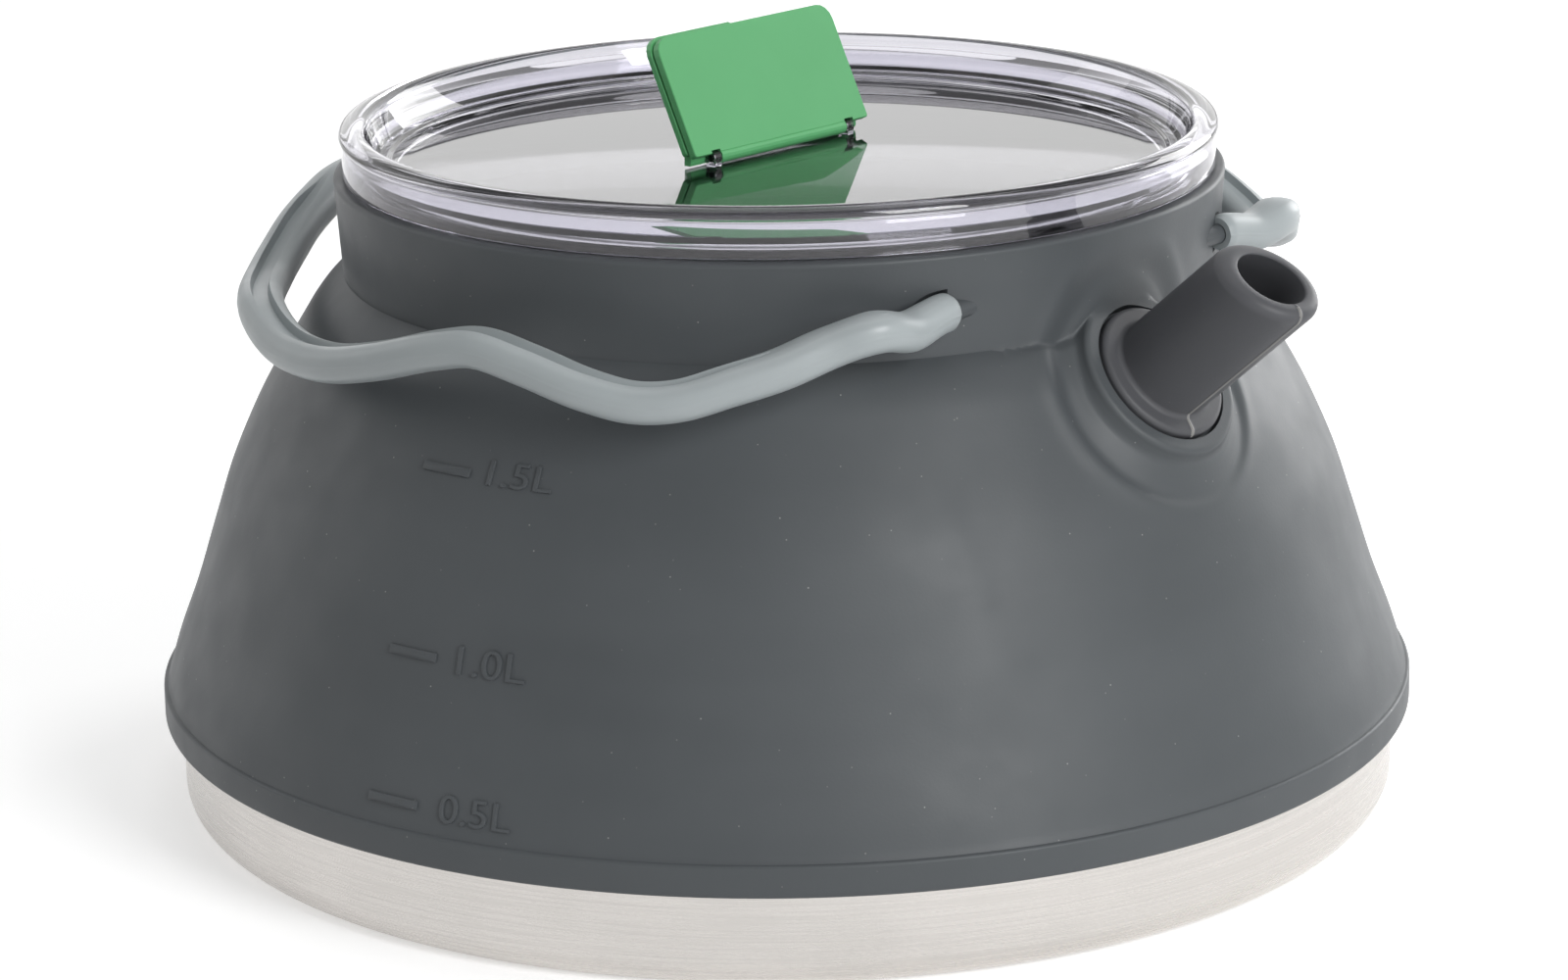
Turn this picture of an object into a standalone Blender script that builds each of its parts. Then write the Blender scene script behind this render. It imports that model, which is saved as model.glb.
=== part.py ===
"""Collapsible kettle: a steel pan, a folding silicone body, a clear lid and a swinging handle.

Run it with blender --background --python part.py, or from Blender's text editor.
Lengths are in metres and +Z is up. The origin is the centre of the pan's flat bottom,
the spout points along +X, and the handle lies back round the neck on the -X side.
"""
import math

import bmesh
import bpy
import numpy as np
from mathutils import Matrix, Vector

MM = 0.001

# Clearances and cutters
GAP = 0.3 * MM                  # between two pieces that touch on the real kettle
OVERRUN = 2.0 * MM              # how far a cutter passes the surface that it cuts
INSET = 0.1 * MM                # keeps the faces of joined shapes from lying in one plane
MERGE = 0.01 * MM               # points closer than this are one point

# Facets round each kind of piece
BODY_STEPS = 52
SPOUT_STEPS = 24
PIN_STEPS = 16
CORNER_STEPS = 3                # along a rounded corner
HANDLE_STATIONS = 41            # sections along half of the handle
SMOOTH_ANGLE = math.radians(32.0)

# Steel pan
PAN_RADIUS = 93.8 * MM
PAN_WALL = 0.8 * MM
PAN_FLOOR = 1.2 * MM
PAN_CORNER = 4.2 * MM           # outer radius of the bottom corner
PAN_RIM_COVER = 0.6 * MM        # silicone between the rim and the top of the band
PAN_RIM_REACH = 0.7 * MM        # the rim turns out this far into the silicone
PAN_RIM_THICKNESS = 0.8 * MM
PAN_GROOVE_RADIUS = 52.0 * MM   # pressed ring in the underside that keeps the floor flat
PAN_GROOVE_WIDTH = 3.0 * MM
PAN_GROOVE_DEPTH = 0.4 * MM

# Silicone body: band, skirt, fold, shoulder and neck
SEAM_Z = 14.6 * MM              # the band's lower edge, where the steel shows below it
BAND_HEIGHT = 4.8 * MM
BAND_STAND = 2.7 * MM           # the band stands this far out from the steel
BAND_STEP = 0.7 * MM            # the skirt starts this far in from the band
BAND_ROUND = 0.5 * MM
GRIP_RAISE = 0.4 * MM           # lower edge of the silicone inside the pan, above the seam
GRIP_ABOVE_BAND = 2.6 * MM
GRIP_WALL = 1.8 * MM
GRIP_RAMP = 3.0 * MM            # height over which the grip thins into the skirt
SHOULDER_HEIGHT = 62.7 * MM     # from the band to the crease where the neck starts
SKIRT_WALL = 2.5 * MM
FOLD_WALL = 1.8 * MM            # thinner, so that it rolls over
SHOULDER_WALL = 2.5 * MM
SKIRT_HEIGHT = 14.6 * MM        # from the band to the fold
FOLD_HEIGHT = 20.0 * MM
NECK_BORE_RADIUS = 64.4 * MM
NECK_HEIGHT = 15.0 * MM
NECK_WALL_AT_TOP = 3.0 * MM
NECK_WALL_AT_CREASE = 2.0 * MM
NECK_LIP_ROUND = 0.6 * MM
INNER_CREASE_DROP = 2.3 * MM    # the bore opens into the shoulder this far below the crease
INNER_CREASE_ROUND = 1.2 * MM

# The body's outline from the band (0, 0) to the crease (1, 1):
# share of the height, share of the drop in radius
BODY_OUTLINE_SHARES = (
    (0.0, 0.0), (0.08, 0.052), (0.23, 0.172), (0.39, 0.282), (0.54, 0.39), (0.63, 0.474),
    (0.69, 0.536), (0.75, 0.607), (0.82, 0.696), (0.88, 0.774), (0.93, 0.842), (0.975, 0.922),
    (1.0, 1.0))
SLOPE_STEP_SHARE = 0.01         # the outline's slope is read over this share of its height

# Spout: a flanged tube held in a collar that stands out of the shoulder
SPOUT_OUT = 7.8 * MM            # from the crease to the centre of the outer flange's face
SPOUT_DROP = 5.3 * MM
SPOUT_LEAN = math.radians(49.3)         # between the tube's axis and the vertical
SPOUT_LENGTH = 24.9 * MM        # from the flange's face to the middle of the mouth
SPOUT_RADIUS = 8.0 * MM
SPOUT_BORE_RADIUS = 5.6 * MM
SPOUT_ROOT_ROUND = 0.8 * MM
SPOUT_MOUTH_SLANT = math.radians(17.3)  # the mouth's plane is turned up from square
SPOUT_FLANGE_RADIUS = 10.8 * MM
SPOUT_FLANGE_THICKNESS = 2.1 * MM
SPOUT_FLANGE_ROUND = 0.5 * MM
SPOUT_HUB_RADIUS = 8.3 * MM     # between the two flanges
SPOUT_INNER_FLANGE_RADIUS = 10.3 * MM
SPOUT_INNER_FLANGE_THICKNESS = 1.8 * MM
SPOUT_INLET_FLARE = 2.0 * MM    # the bore widens this much at its inner end
SEAT_WALL = 2.4 * MM            # silicone between the two flanges
SEAT_RELIEF_RADIUS = 10.8 * MM  # room for the inner flange
SEAT_RELIEF_DEPTH = 12.0 * MM
COLLAR_STEP = 0.8 * MM          # the flange's face stands this far above the collar
COLLAR_TOP_RADIUS = 13.4 * MM
COLLAR_ROUND = 0.9 * MM
COLLAR_FOOT_RADIUS = 19.0 * MM
COLLAR_DEPTH = 6.5 * MM
COLLAR_FLARE_SHARES = ((0.2, 0.06), (0.42, 0.26), (0.65, 0.58))  # share of depth, of flare

# Neck ring, which stiffens the neck and holds the handle's pins
RING_WALL = 2.5 * MM
RING_HEIGHT = 10.4 * MM
RING_BELOW_LIP = 3.7 * MM
RING_RIB_RAISE = 1.6 * MM       # from the ring's lower edge to the rib in the neck's groove
RING_RIB_HEIGHT = 0.8 * MM
RING_RIB_REACH = 0.8 * MM
BOSS_WALL = 1.1 * MM
BOSS_INNER_Y = 11.0 * MM
BOSS_LENGTH = 13.0 * MM

# Handle pivots
PIVOT_INSET = 7.4 * MM          # from the neck's foremost point back to the pivot axis
PIVOT_BELOW_LIP = 8.1 * MM
PIN_RADIUS = 1.2 * MM
PIN_START = 2.5 * MM            # from the boss's inner end to the pin's
PIN_DEPTH_IN_HANDLE = 3.5 * MM

# Handle: a bail that loops round the back of the neck
HANDLE_STAND = 11.9 * MM        # from the neck to the bail's centreline
HANDLE_DIP = 11.3 * MM          # from the pivots down to the bail's lowest places
HANDLE_WIDTH = 7.0 * MM
HANDLE_HEIGHT = 5.6 * MM
HANDLE_TAPER = 12.0 * MM        # the knuckle widens into the bail over this length
HANDLE_SQUARENESS = 2.7         # exponent of the bail's rounded section, 2 being an ellipse
KNUCKLE_RADIUS = 2.75 * MM      # the knuckle turns in a round seat sunk in the neck's side
KNUCKLE_END_RADIUS = 2.3 * MM
KNUCKLE_BACKING = 0.9 * MM      # silicone behind the seat's floor, along the pin where it is thinnest
KNUCKLE_DOME = 0.7 * MM
KNUCKLE_LENGTH = 4.2 * MM
RECESS_WIDTH = 2.9 * MM         # the channel along the top
RECESS_FLOOR_WIDTH = 2.2 * MM
RECESS_DEPTH = 1.3 * MM

# The bail on the +Y side: angle from the spout in degrees, share of the radius, share of the dip
HANDLE_ROUTE_SHARES = (
    (33.2, 0.904, 0.106), (37.2, 0.946, 0.0), (42.6, 0.948, 0.177), (47.5, 0.964, 0.394),
    (53.0, 0.981, 0.58), (58.0, 0.998, 0.747), (62.0, 1.006, 0.773), (67.0, 1.01, 0.646),
    (73.5, 1.005, 0.412), (80.0, 1.0, 0.276), (84.0, 1.0, 0.369), (93.0, 1.0, 0.686),
    (101.0, 1.0, 0.909), (111.0, 1.0, 1.0), (125.0, 1.0, 0.855), (141.0, 0.988, 0.804),
    (148.0, 0.986, 0.654), (153.0, 0.988, 0.504), (160.0, 0.992, 0.31), (165.0, 1.0, 0.194),
    (172.0, 1.0, 0.111), (180.0, 1.0, 0.088))
RECESS_START_ANGLE = math.radians(47.0)         # from the spout
RECESS_END_ANGLE = math.radians(163.0)
RECESS_FADE_ANGLE = math.radians(8.0)           # it runs out to a point over this angle
SECTION_ANGLES = (0.0, 32.0, 58.0, 122.0, 148.0, 180.0, 214.0, 246.0, 270.0, 294.0, 326.0)

# Lid
LID_INSET = 1.4 * MM            # its wall stands this far in from the neck's outer edge
LID_WALL = 7.3 * MM             # from the floor's edge to the outside
LID_BEAD_REACH = 0.4 * MM
LID_BEAD_WIDTH = 4.0 * MM
LID_BEAD_HEIGHT = 1.6 * MM
LID_HEIGHT = 7.7 * MM           # above the neck
LID_FLOOR_RAISE = 1.9 * MM      # from the neck's top to the floor's top
LID_FLOOR_THICKNESS = 2.0 * MM
LID_LEDGE_HEIGHT = 0.6 * MM
LID_LEDGE_WIDTH = 1.3 * MM
LID_PLUG_DEPTH = 2.9 * MM       # below the floor
LID_PLUG_WALL = 2.0 * MM
LID_PLUG_ROUND = 0.5 * MM

# Lid tab. Its plates are measured along the lean from the hinge axis, and square to it
TAB_HINGE_X = 0.45 * MM
TAB_HINGE_HEIGHT = 1.3 * MM     # above the lid's floor
TAB_LEAN = math.radians(64.0)   # above the lid's floor, leaning away from the spout
TAB_WIDTH = 38.6 * MM
TAB_FOOT = 0.45 * MM
TAB_REACH = 19.2 * MM
TAB_CORNER = 2.6 * MM
TAB_FOOT_CORNER = 0.4 * MM
TAB_FRONT = 0.95 * MM           # the front face stands this far before the axis
TAB_PLATE_THICKNESS = 1.3 * MM
TAB_BACK_FOOT = 1.25 * MM
TAB_BACK_THICKNESS = 1.1 * MM
TAB_BACK_STEP = 0.55 * MM       # the back layer is this much taller on its -Y part
TAB_BACK_STEP_Y = -1.2 * MM
TAB_BACK_STEP_RUN = 0.8 * MM
TAB_EDGE = 0.25 * MM            # bevel of the plates' edges
TAB_BARREL_RADIUS = 1.05 * MM
TAB_BARREL_LENGTH = 27.8 * MM
TAB_PIN_RADIUS = 0.45 * MM
TAB_PIN_GAP = 0.2 * MM
LUG_THICKNESS = 1.3 * MM
LUG_ROOT = 0.5 * MM             # the lugs are rooted this deep in the lid's floor
HEEL_REACH = 1.0 * MM           # the heel stands this far behind the back layer
HEEL_HEIGHT = 2.2 * MM
HEEL_SIDE = 0.8 * MM            # from the end of the heel to the side of the tab

# Finishes: name, colour, roughness, metallic, alpha
STEEL = ("brushed_steel", (0.62, 0.61, 0.6), 0.28, 1.0, 1.0)
DARK_STEEL = ("blackened_steel", (0.08, 0.08, 0.085), 0.4, 1.0, 1.0)
SILICONE = ("charcoal_silicone", (0.1, 0.112, 0.122), 0.55, 0.0, 1.0)
DARK_NYLON = ("dark_nylon", (0.06, 0.065, 0.07), 0.5, 0.0, 1.0)
GREY_NYLON = ("grey_nylon", (0.36, 0.4, 0.42), 0.42, 0.0, 1.0)
SMOKE_CLEAR = ("smoke_clear_plastic", (0.55, 0.55, 0.58), 0.06, 0.0, 0.35)
GREEN = ("green_plastic", (0.12, 0.5, 0.2), 0.4, 0.0, 1.0)

# Sizes that follow from the ones above
BAND_RADIUS = PAN_RADIUS + BAND_STAND
BAND_TOP_Z = SEAM_Z + BAND_HEIGHT
PAN_RIM_TOP_Z = BAND_TOP_Z - PAN_RIM_COVER
FOOT_RADIUS = BAND_RADIUS - BAND_STEP
FOLD_LOW_Z = BAND_TOP_Z + SKIRT_HEIGHT
FOLD_HIGH_Z = FOLD_LOW_Z + FOLD_HEIGHT
CREASE_RADIUS = NECK_BORE_RADIUS + NECK_WALL_AT_CREASE
CREASE_Z = BAND_TOP_Z + SHOULDER_HEIGHT
INNER_CREASE_Z = CREASE_Z - INNER_CREASE_DROP
NECK_TOP_RADIUS = NECK_BORE_RADIUS + NECK_WALL_AT_TOP
NECK_TOP_Z = CREASE_Z + NECK_HEIGHT
BODY_DROP = FOOT_RADIUS - CREASE_RADIUS
SPOUT_FACE = Vector((CREASE_RADIUS + SPOUT_OUT, 0.0, CREASE_Z - SPOUT_DROP))
RING_TOP_Z = NECK_TOP_Z - RING_BELOW_LIP
RING_BOTTOM_Z = RING_TOP_Z - RING_HEIGHT
RING_RIB_Z = RING_BOTTOM_Z + RING_RIB_RAISE
RING_RADIUS = NECK_BORE_RADIUS - GAP
RING_BORE_RADIUS = RING_RADIUS - RING_WALL
RING_GROOVE_RADIUS = RING_RADIUS + RING_RIB_REACH + GAP
PIN_HOLE_RADIUS = PIN_RADIUS + GAP
PIVOT_X = NECK_TOP_RADIUS - PIVOT_INSET
PIVOT_Z = NECK_TOP_Z - PIVOT_BELOW_LIP
HANDLE_RADIUS = NECK_TOP_RADIUS + HANDLE_STAND
KNUCKLE_SEAT_RADIUS = KNUCKLE_RADIUS + GAP
KNUCKLE_SIDE_X = PIVOT_X - KNUCKLE_SEAT_RADIUS
KNUCKLE_SEAT_Y = math.sqrt(NECK_BORE_RADIUS ** 2 - KNUCKLE_SIDE_X ** 2) + KNUCKLE_BACKING
KNUCKLE_END_Y = KNUCKLE_SEAT_Y + GAP
PIN_INNER_Y = BOSS_INNER_Y + PIN_START
PIN_OUTER_Y = KNUCKLE_END_Y + PIN_DEPTH_IN_HANDLE
SEAT_FLOOR = SPOUT_FLANGE_THICKNESS + GAP       # below the flange's face
SEAT_BACK = SEAT_FLOOR + SEAT_WALL
LID_SEAT_RADIUS = NECK_TOP_RADIUS - LID_INSET
LID_BEAD_RADIUS = LID_SEAT_RADIUS + LID_BEAD_REACH
LID_FLOOR_RADIUS = LID_SEAT_RADIUS - LID_WALL
LID_FLOOR_TOP_Z = NECK_TOP_Z + LID_FLOOR_RAISE
LID_TOP_Z = NECK_TOP_Z + LID_HEIGHT
LID_BEAD_UNDER_Z = LID_TOP_Z - LID_BEAD_HEIGHT
TAB_AXIS = Vector((TAB_HINGE_X, 0.0, LID_FLOOR_TOP_Z + TAB_HINGE_HEIGHT))
TAB_UP = Vector((-math.cos(TAB_LEAN), 0.0, math.sin(TAB_LEAN)))
TAB_NORMAL = Vector((math.sin(TAB_LEAN), 0.0, math.cos(TAB_LEAN)))
LUG_Y = TAB_BARREL_LENGTH / 2 + GAP + LUG_THICKNESS / 2
TAB_PIN_LENGTH = 2 * LUG_Y + LUG_THICKNESS


def clear_scene():
    """Removes every object, so that the script can be run again."""
    for item in list(bpy.data.objects):
        bpy.data.objects.remove(item, do_unlink=True)


def new_collection(name):
    """Makes a collection under the scene."""
    collection = bpy.data.collections.new(name)
    bpy.context.scene.collection.children.link(collection)
    return collection


def material(finish):
    """The material of a finish, made once."""
    name, colour, roughness, metallic, alpha = finish
    found = bpy.data.materials.get(name)
    if found:
        return found
    made = bpy.data.materials.new(name)
    made.use_nodes = True
    shader = made.node_tree.nodes["Principled BSDF"]
    shader.inputs["Base Color"].default_value = (*colour, 1.0)
    shader.inputs["Roughness"].default_value = roughness
    shader.inputs["Metallic"].default_value = metallic
    shader.inputs["Alpha"].default_value = alpha
    return made


def add_part(name, mesh, finish):
    """Puts a mesh into the scene as a piece of the kettle."""
    part = bpy.data.objects.new(name, mesh)
    mesh.materials.append(material(finish))
    bpy.data.collections["collapsible_kettle"].objects.link(part)
    return part


def add_tool(name, mesh):
    """Puts a mesh into the scene as a cutter, or as a shape that is joined to a piece."""
    tool = bpy.data.objects.new(name, mesh)
    tool.hide_render = True
    tool.display_type = 'WIRE'
    bpy.data.collections["cutters"].objects.link(tool)
    return tool


def add_axis(name, place, parent=None):
    """An empty on a joint's axis, which the moving pieces are parented to."""
    axis = bpy.data.objects.new(name, None)
    bpy.data.collections["collapsible_kettle"].objects.link(axis)
    axis.location = place
    if parent:
        hang(axis, parent)
    return axis


def hang(item, parent):
    """Parents an item to an unturned empty, and leaves it where it is."""
    carrier = parent
    offset = Vector()
    while carrier:
        offset += carrier.location
        carrier = carrier.parent
    item.location -= offset
    item.parent = parent


def profile_mesh(name, points, closed):
    """An outline of (radius, height) points as edges in the XZ plane."""
    count = len(points)
    edges = [(i, i + 1) for i in range(count - 1)]
    if closed:
        edges.append((count - 1, 0))
    mesh = bpy.data.meshes.new(name)
    mesh.from_pydata([(radius, 0.0, height) for radius, height in points], edges, [])
    return mesh


def turn(item, steps=BODY_STEPS):
    """Turns an item's outline round its Z axis. The outline runs down its outer side."""
    screw = item.modifiers.new("Turn", 'SCREW')
    screw.axis = 'Z'
    screw.angle = math.tau
    screw.steps = steps
    screw.render_steps = steps
    screw.use_merge_vertices = True
    screw.merge_threshold = MERGE


def combine(item, operation, *tools):
    """Joins, cuts or trims an item with tools."""
    for tool in tools:
        step = item.modifiers.new(tool.name, 'BOOLEAN')
        step.operation = operation
        step.solver = 'EXACT'
        step.object = tool


def realise(item):
    """Applies an item's modifiers and shades its round faces smooth."""
    bpy.context.view_layer.update()
    graph = bpy.context.evaluated_depsgraph_get()
    mesh = bpy.data.meshes.new_from_object(item.evaluated_get(graph))
    item.modifiers.clear()
    item.data = mesh
    mesh.shade_smooth()
    mesh.set_sharp_from_angle(angle=SMOOTH_ANGLE)


def rod_mesh(name, radius, length, steps=PIN_STEPS):
    """A cylinder along Y, centred on its origin."""
    shape = bmesh.new()
    bmesh.ops.create_cone(shape, cap_ends=True, segments=steps, radius1=radius, radius2=radius,
                          depth=length, matrix=Matrix.Rotation(math.pi / 2, 4, 'X'))
    mesh = bpy.data.meshes.new(name)
    shape.to_mesh(mesh)
    shape.free()
    return mesh


def box_mesh(name, low, high):
    """A box between its lowest and its highest corner."""
    middle = (Vector(low) + Vector(high)) / 2
    size = Vector(high) - Vector(low)
    shape = bmesh.new()
    bmesh.ops.create_cube(shape, size=1.0)
    bmesh.ops.scale(shape, verts=shape.verts, vec=size)
    bmesh.ops.translate(shape, verts=shape.verts, vec=middle)
    mesh = bpy.data.meshes.new(name)
    shape.to_mesh(mesh)
    shape.free()
    return mesh


def plate_mesh(name, outline, thickness):
    """A flat outline as a plate, centred on its own XY plane."""
    curve = bpy.data.curves.new(name, 'CURVE')
    curve.dimensions = '2D'
    curve.fill_mode = 'BOTH'
    curve.extrude = thickness / 2
    spline = curve.splines.new('POLY')
    spline.points.add(len(outline) - 1)
    for point, (x, y) in zip(spline.points, outline):
        point.co = (x, y, 0.0, 1.0)
    spline.use_cyclic_u = True
    guide = bpy.data.objects.new(name, curve)
    bpy.data.collections["cutters"].objects.link(guide)
    bpy.context.view_layer.update()
    graph = bpy.context.evaluated_depsgraph_get()
    mesh = bpy.data.meshes.new_from_object(guide.evaluated_get(graph))
    bpy.data.objects.remove(guide, do_unlink=True)
    shape = bmesh.new()
    shape.from_mesh(mesh)
    bmesh.ops.remove_doubles(shape, verts=shape.verts, dist=MERGE)
    bmesh.ops.recalc_face_normals(shape, faces=shape.faces)
    shape.to_mesh(mesh)
    shape.free()
    return mesh


def arc(centre, radius, start, end, steps=CORNER_STEPS):
    """Points on an arc between two angles in degrees."""
    angles = np.radians(np.linspace(start, end, steps + 1))
    return [(centre[0] + radius * math.cos(angle), centre[1] + radius * math.sin(angle))
            for angle in angles]


def along_curve(knots, values, position):
    """The value at a position on a smooth curve through the values at the knots."""
    knots = np.asarray(knots, dtype=float)
    values = np.asarray(values, dtype=float)
    slopes = np.gradient(values, knots, axis=0)
    span = int(np.clip(np.searchsorted(knots, position) - 1, 0, len(knots) - 2))
    width = knots[span + 1] - knots[span]
    t = (position - knots[span]) / width
    start = values[span] * (1 + 2 * t) * (1 - t) ** 2 + width * slopes[span] * t * (1 - t) ** 2
    end = values[span + 1] * t * t * (3 - 2 * t) + width * slopes[span + 1] * t * t * (t - 1)
    return start + end


def ease(t):
    """Rises smoothly from 0 to 1."""
    t = min(max(t, 0.0), 1.0)
    return t * t * (3 - 2 * t)


def body_radius(height):
    """Outer radius of the silicone at a height between its band and its crease."""
    heights, drops = zip(*BODY_OUTLINE_SHARES)
    share = (height - BAND_TOP_Z) / SHOULDER_HEIGHT
    return FOOT_RADIUS - BODY_DROP * float(along_curve(heights, drops, share))


def body_wall(low, high, count, wall=0.0):
    """Points up the silicone, on its outside or set in by a wall."""
    step = SHOULDER_HEIGHT * SLOPE_STEP_SHARE
    points = []
    for height in np.linspace(low, high, count):
        slope = (body_radius(height + step) - body_radius(height - step)) / (2 * step)
        points.append((body_radius(height) - wall * math.hypot(1.0, slope), height))
    return points


def build_pan():
    """The steel pan: floor, rounded corner, wall and the rim that the silicone grips."""
    bore = PAN_RADIUS - PAN_WALL
    inner_corner = PAN_CORNER - PAN_FLOOR
    rim = PAN_RADIUS + PAN_RIM_REACH
    rim_under = PAN_RIM_TOP_Z - PAN_RIM_THICKNESS
    groove = [PAN_GROOVE_RADIUS + PAN_GROOVE_WIDTH * share for share in (0.5, 0.25, -0.25, -0.5)]
    outline = [(0.0, PAN_FLOOR)]
    outline += arc((bore - inner_corner, PAN_FLOOR + inner_corner), inner_corner, -90.0, 0.0)
    outline += [(bore, PAN_RIM_TOP_Z), (rim, PAN_RIM_TOP_Z), (rim, rim_under)]
    outline += [(PAN_RADIUS, rim_under)]
    outline += arc((PAN_RADIUS - PAN_CORNER, PAN_CORNER), PAN_CORNER, 0.0, -90.0)
    outline += [(groove[0], 0.0), (groove[1], PAN_GROOVE_DEPTH), (groove[2], PAN_GROOVE_DEPTH)]
    outline += [(groove[3], 0.0), (0.0, 0.0)]
    pan = add_part("base_pan", profile_mesh("base_pan", outline, False), STEEL)
    turn(pan)
    realise(pan)


def build_skirt():
    """The lower silicone: a band that grips the pan's rim, and the skirt above it."""
    outer_grip = PAN_RADIUS + GAP
    inner_grip = PAN_RADIUS - PAN_WALL - GAP
    slot = PAN_RADIUS + PAN_RIM_REACH + GAP
    slot_low = PAN_RIM_TOP_Z - PAN_RIM_THICKNESS - GAP
    slot_high = PAN_RIM_TOP_Z + GAP
    lining = inner_grip - GRIP_WALL
    grip_low = SEAM_Z + GRIP_RAISE
    grip_high = BAND_TOP_Z + GRIP_ABOVE_BAND
    top = FOLD_LOW_Z - GAP / 2
    edge = BAND_RADIUS - BAND_ROUND
    outline = body_wall(top, BAND_TOP_Z, 4)
    outline += arc((edge, BAND_TOP_Z - BAND_ROUND), BAND_ROUND, 90.0, 0.0, 2)
    outline += arc((edge, SEAM_Z + BAND_ROUND), BAND_ROUND, 0.0, -90.0, 2)
    outline += [(outer_grip, SEAM_Z), (outer_grip, slot_low), (slot, slot_low)]
    outline += [(slot, slot_high), (inner_grip, slot_high), (inner_grip, grip_low)]
    outline += [(lining, grip_low), (lining, grip_high)]
    outline += body_wall(grip_high + GRIP_RAMP, top, 2, SKIRT_WALL)
    skirt = add_part("silicone_skirt", profile_mesh("silicone_skirt", outline, True), SILICONE)
    turn(skirt)
    realise(skirt)


def build_fold():
    """The middle of the silicone, which rolls inside out when the kettle is pushed flat."""
    low = FOLD_LOW_Z + GAP / 2
    high = FOLD_HIGH_Z - GAP / 2
    outline = body_wall(high, low, 4) + body_wall(low, high, 4, FOLD_WALL)
    fold = add_part("silicone_fold", profile_mesh("silicone_fold", outline, True), SILICONE)
    turn(fold)
    realise(fold)


def place_on_spout(item):
    """Puts an item on the spout's axis, with its origin in the outer flange's face."""
    item.location = SPOUT_FACE
    item.rotation_euler = (0.0, SPOUT_LEAN, 0.0)


def collar_tool():
    """The collar round the spout's seat, as a plug that ends inside the shoulder's wall."""
    shoulder = COLLAR_STEP + COLLAR_ROUND
    flare = COLLAR_FOOT_RADIUS - COLLAR_TOP_RADIUS
    depth = COLLAR_DEPTH - shoulder
    outline = [(0.0, -COLLAR_STEP)]
    outline += arc((COLLAR_TOP_RADIUS - COLLAR_ROUND, -shoulder), COLLAR_ROUND, 90.0, 0.0)
    outline += [(COLLAR_TOP_RADIUS + flare * out, -shoulder - depth * down)
                for down, out in COLLAR_FLARE_SHARES]
    outline += [(COLLAR_FOOT_RADIUS, -COLLAR_DEPTH), (0.0, -COLLAR_DEPTH)]
    collar = add_tool("spout_collar", profile_mesh("spout_collar", outline, False))
    turn(collar, SPOUT_STEPS)
    place_on_spout(collar)
    inside = body_wall(INNER_CREASE_Z, FOLD_HIGH_Z, 5, SHOULDER_WALL - INSET)
    bore = RING_GROOVE_RADIUS + INSET
    hollow = [(0.0, NECK_TOP_Z), (bore, NECK_TOP_Z), (bore, INNER_CREASE_Z + INNER_CREASE_ROUND)]
    hollow += inside + [(0.0, FOLD_HIGH_Z)]
    room = add_tool("shoulder_room", profile_mesh("shoulder_room", hollow, False))
    turn(room)
    combine(collar, 'DIFFERENCE', room)
    return collar


def seat_tool():
    """Cuts the spout's seat: a pocket for the outer flange, a hole and room for the inner one."""
    pocket = SPOUT_FLANGE_RADIUS + GAP
    hole = SPOUT_HUB_RADIUS + GAP
    outline = [(0.0, OVERRUN), (pocket, OVERRUN), (pocket, -SEAT_FLOOR), (hole, -SEAT_FLOOR)]
    outline += [(hole, -SEAT_BACK), (SEAT_RELIEF_RADIUS, -SEAT_BACK)]
    outline += [(SEAT_RELIEF_RADIUS, -SEAT_RELIEF_DEPTH), (0.0, -SEAT_RELIEF_DEPTH)]
    seat = add_tool("spout_seat", profile_mesh("spout_seat", outline, False))
    turn(seat, SPOUT_STEPS)
    place_on_spout(seat)
    return seat


def pin_hole_tool(name, side, inner, outer):
    """Cuts the hole of a handle pin, from its inner to its outer distance from the middle."""
    hole = add_tool(name, rod_mesh(name, PIN_HOLE_RADIUS, outer - inner))
    hole.location = (PIVOT_X, side * (inner + outer) / 2, PIVOT_Z)
    return hole


def knuckle_seat_tool(name, side):
    """Cuts the round seat in the neck's side that the handle's knuckle turns in."""
    outside = math.sqrt(NECK_TOP_RADIUS ** 2 - KNUCKLE_SIDE_X ** 2) + OVERRUN
    seat = add_tool(name, rod_mesh(name, KNUCKLE_SEAT_RADIUS, outside - KNUCKLE_SEAT_Y))
    seat.location = (PIVOT_X, side * (outside + KNUCKLE_SEAT_Y) / 2, PIVOT_Z)
    return seat


def build_shoulder(carrier, pin_holes):
    """The upper silicone: shoulder, neck with the ring's groove, and the spout's collar."""
    base = FOLD_HIGH_Z + GAP / 2
    groove_low = RING_RIB_Z - GAP
    groove_high = RING_RIB_Z + RING_RIB_HEIGHT + GAP
    outline = [(NECK_BORE_RADIUS + NECK_LIP_ROUND, NECK_TOP_Z)]
    outline += arc((NECK_TOP_RADIUS - NECK_LIP_ROUND, NECK_TOP_Z - NECK_LIP_ROUND),
                   NECK_LIP_ROUND, 90.0, 0.0, 2)
    outline += body_wall(CREASE_Z, base, 7)
    outline += body_wall(base, INNER_CREASE_Z, 4, SHOULDER_WALL)
    outline += [(NECK_BORE_RADIUS, INNER_CREASE_Z + INNER_CREASE_ROUND)]
    outline += [(NECK_BORE_RADIUS, groove_low), (RING_GROOVE_RADIUS, groove_low)]
    outline += [(RING_GROOVE_RADIUS, groove_high)]
    outline += [(NECK_BORE_RADIUS, groove_high), (NECK_BORE_RADIUS, NECK_TOP_Z - NECK_LIP_ROUND)]
    shoulder = add_part("silicone_shoulder",
                        profile_mesh("silicone_shoulder", outline, True), SILICONE)
    turn(shoulder)
    combine(shoulder, 'UNION', collar_tool())
    seats = [knuckle_seat_tool("knuckle_seat_left", 1), knuckle_seat_tool("knuckle_seat_right", -1)]
    combine(shoulder, 'DIFFERENCE', seat_tool(), *seats, *pin_holes)
    realise(shoulder)
    hang(shoulder, carrier)


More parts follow.
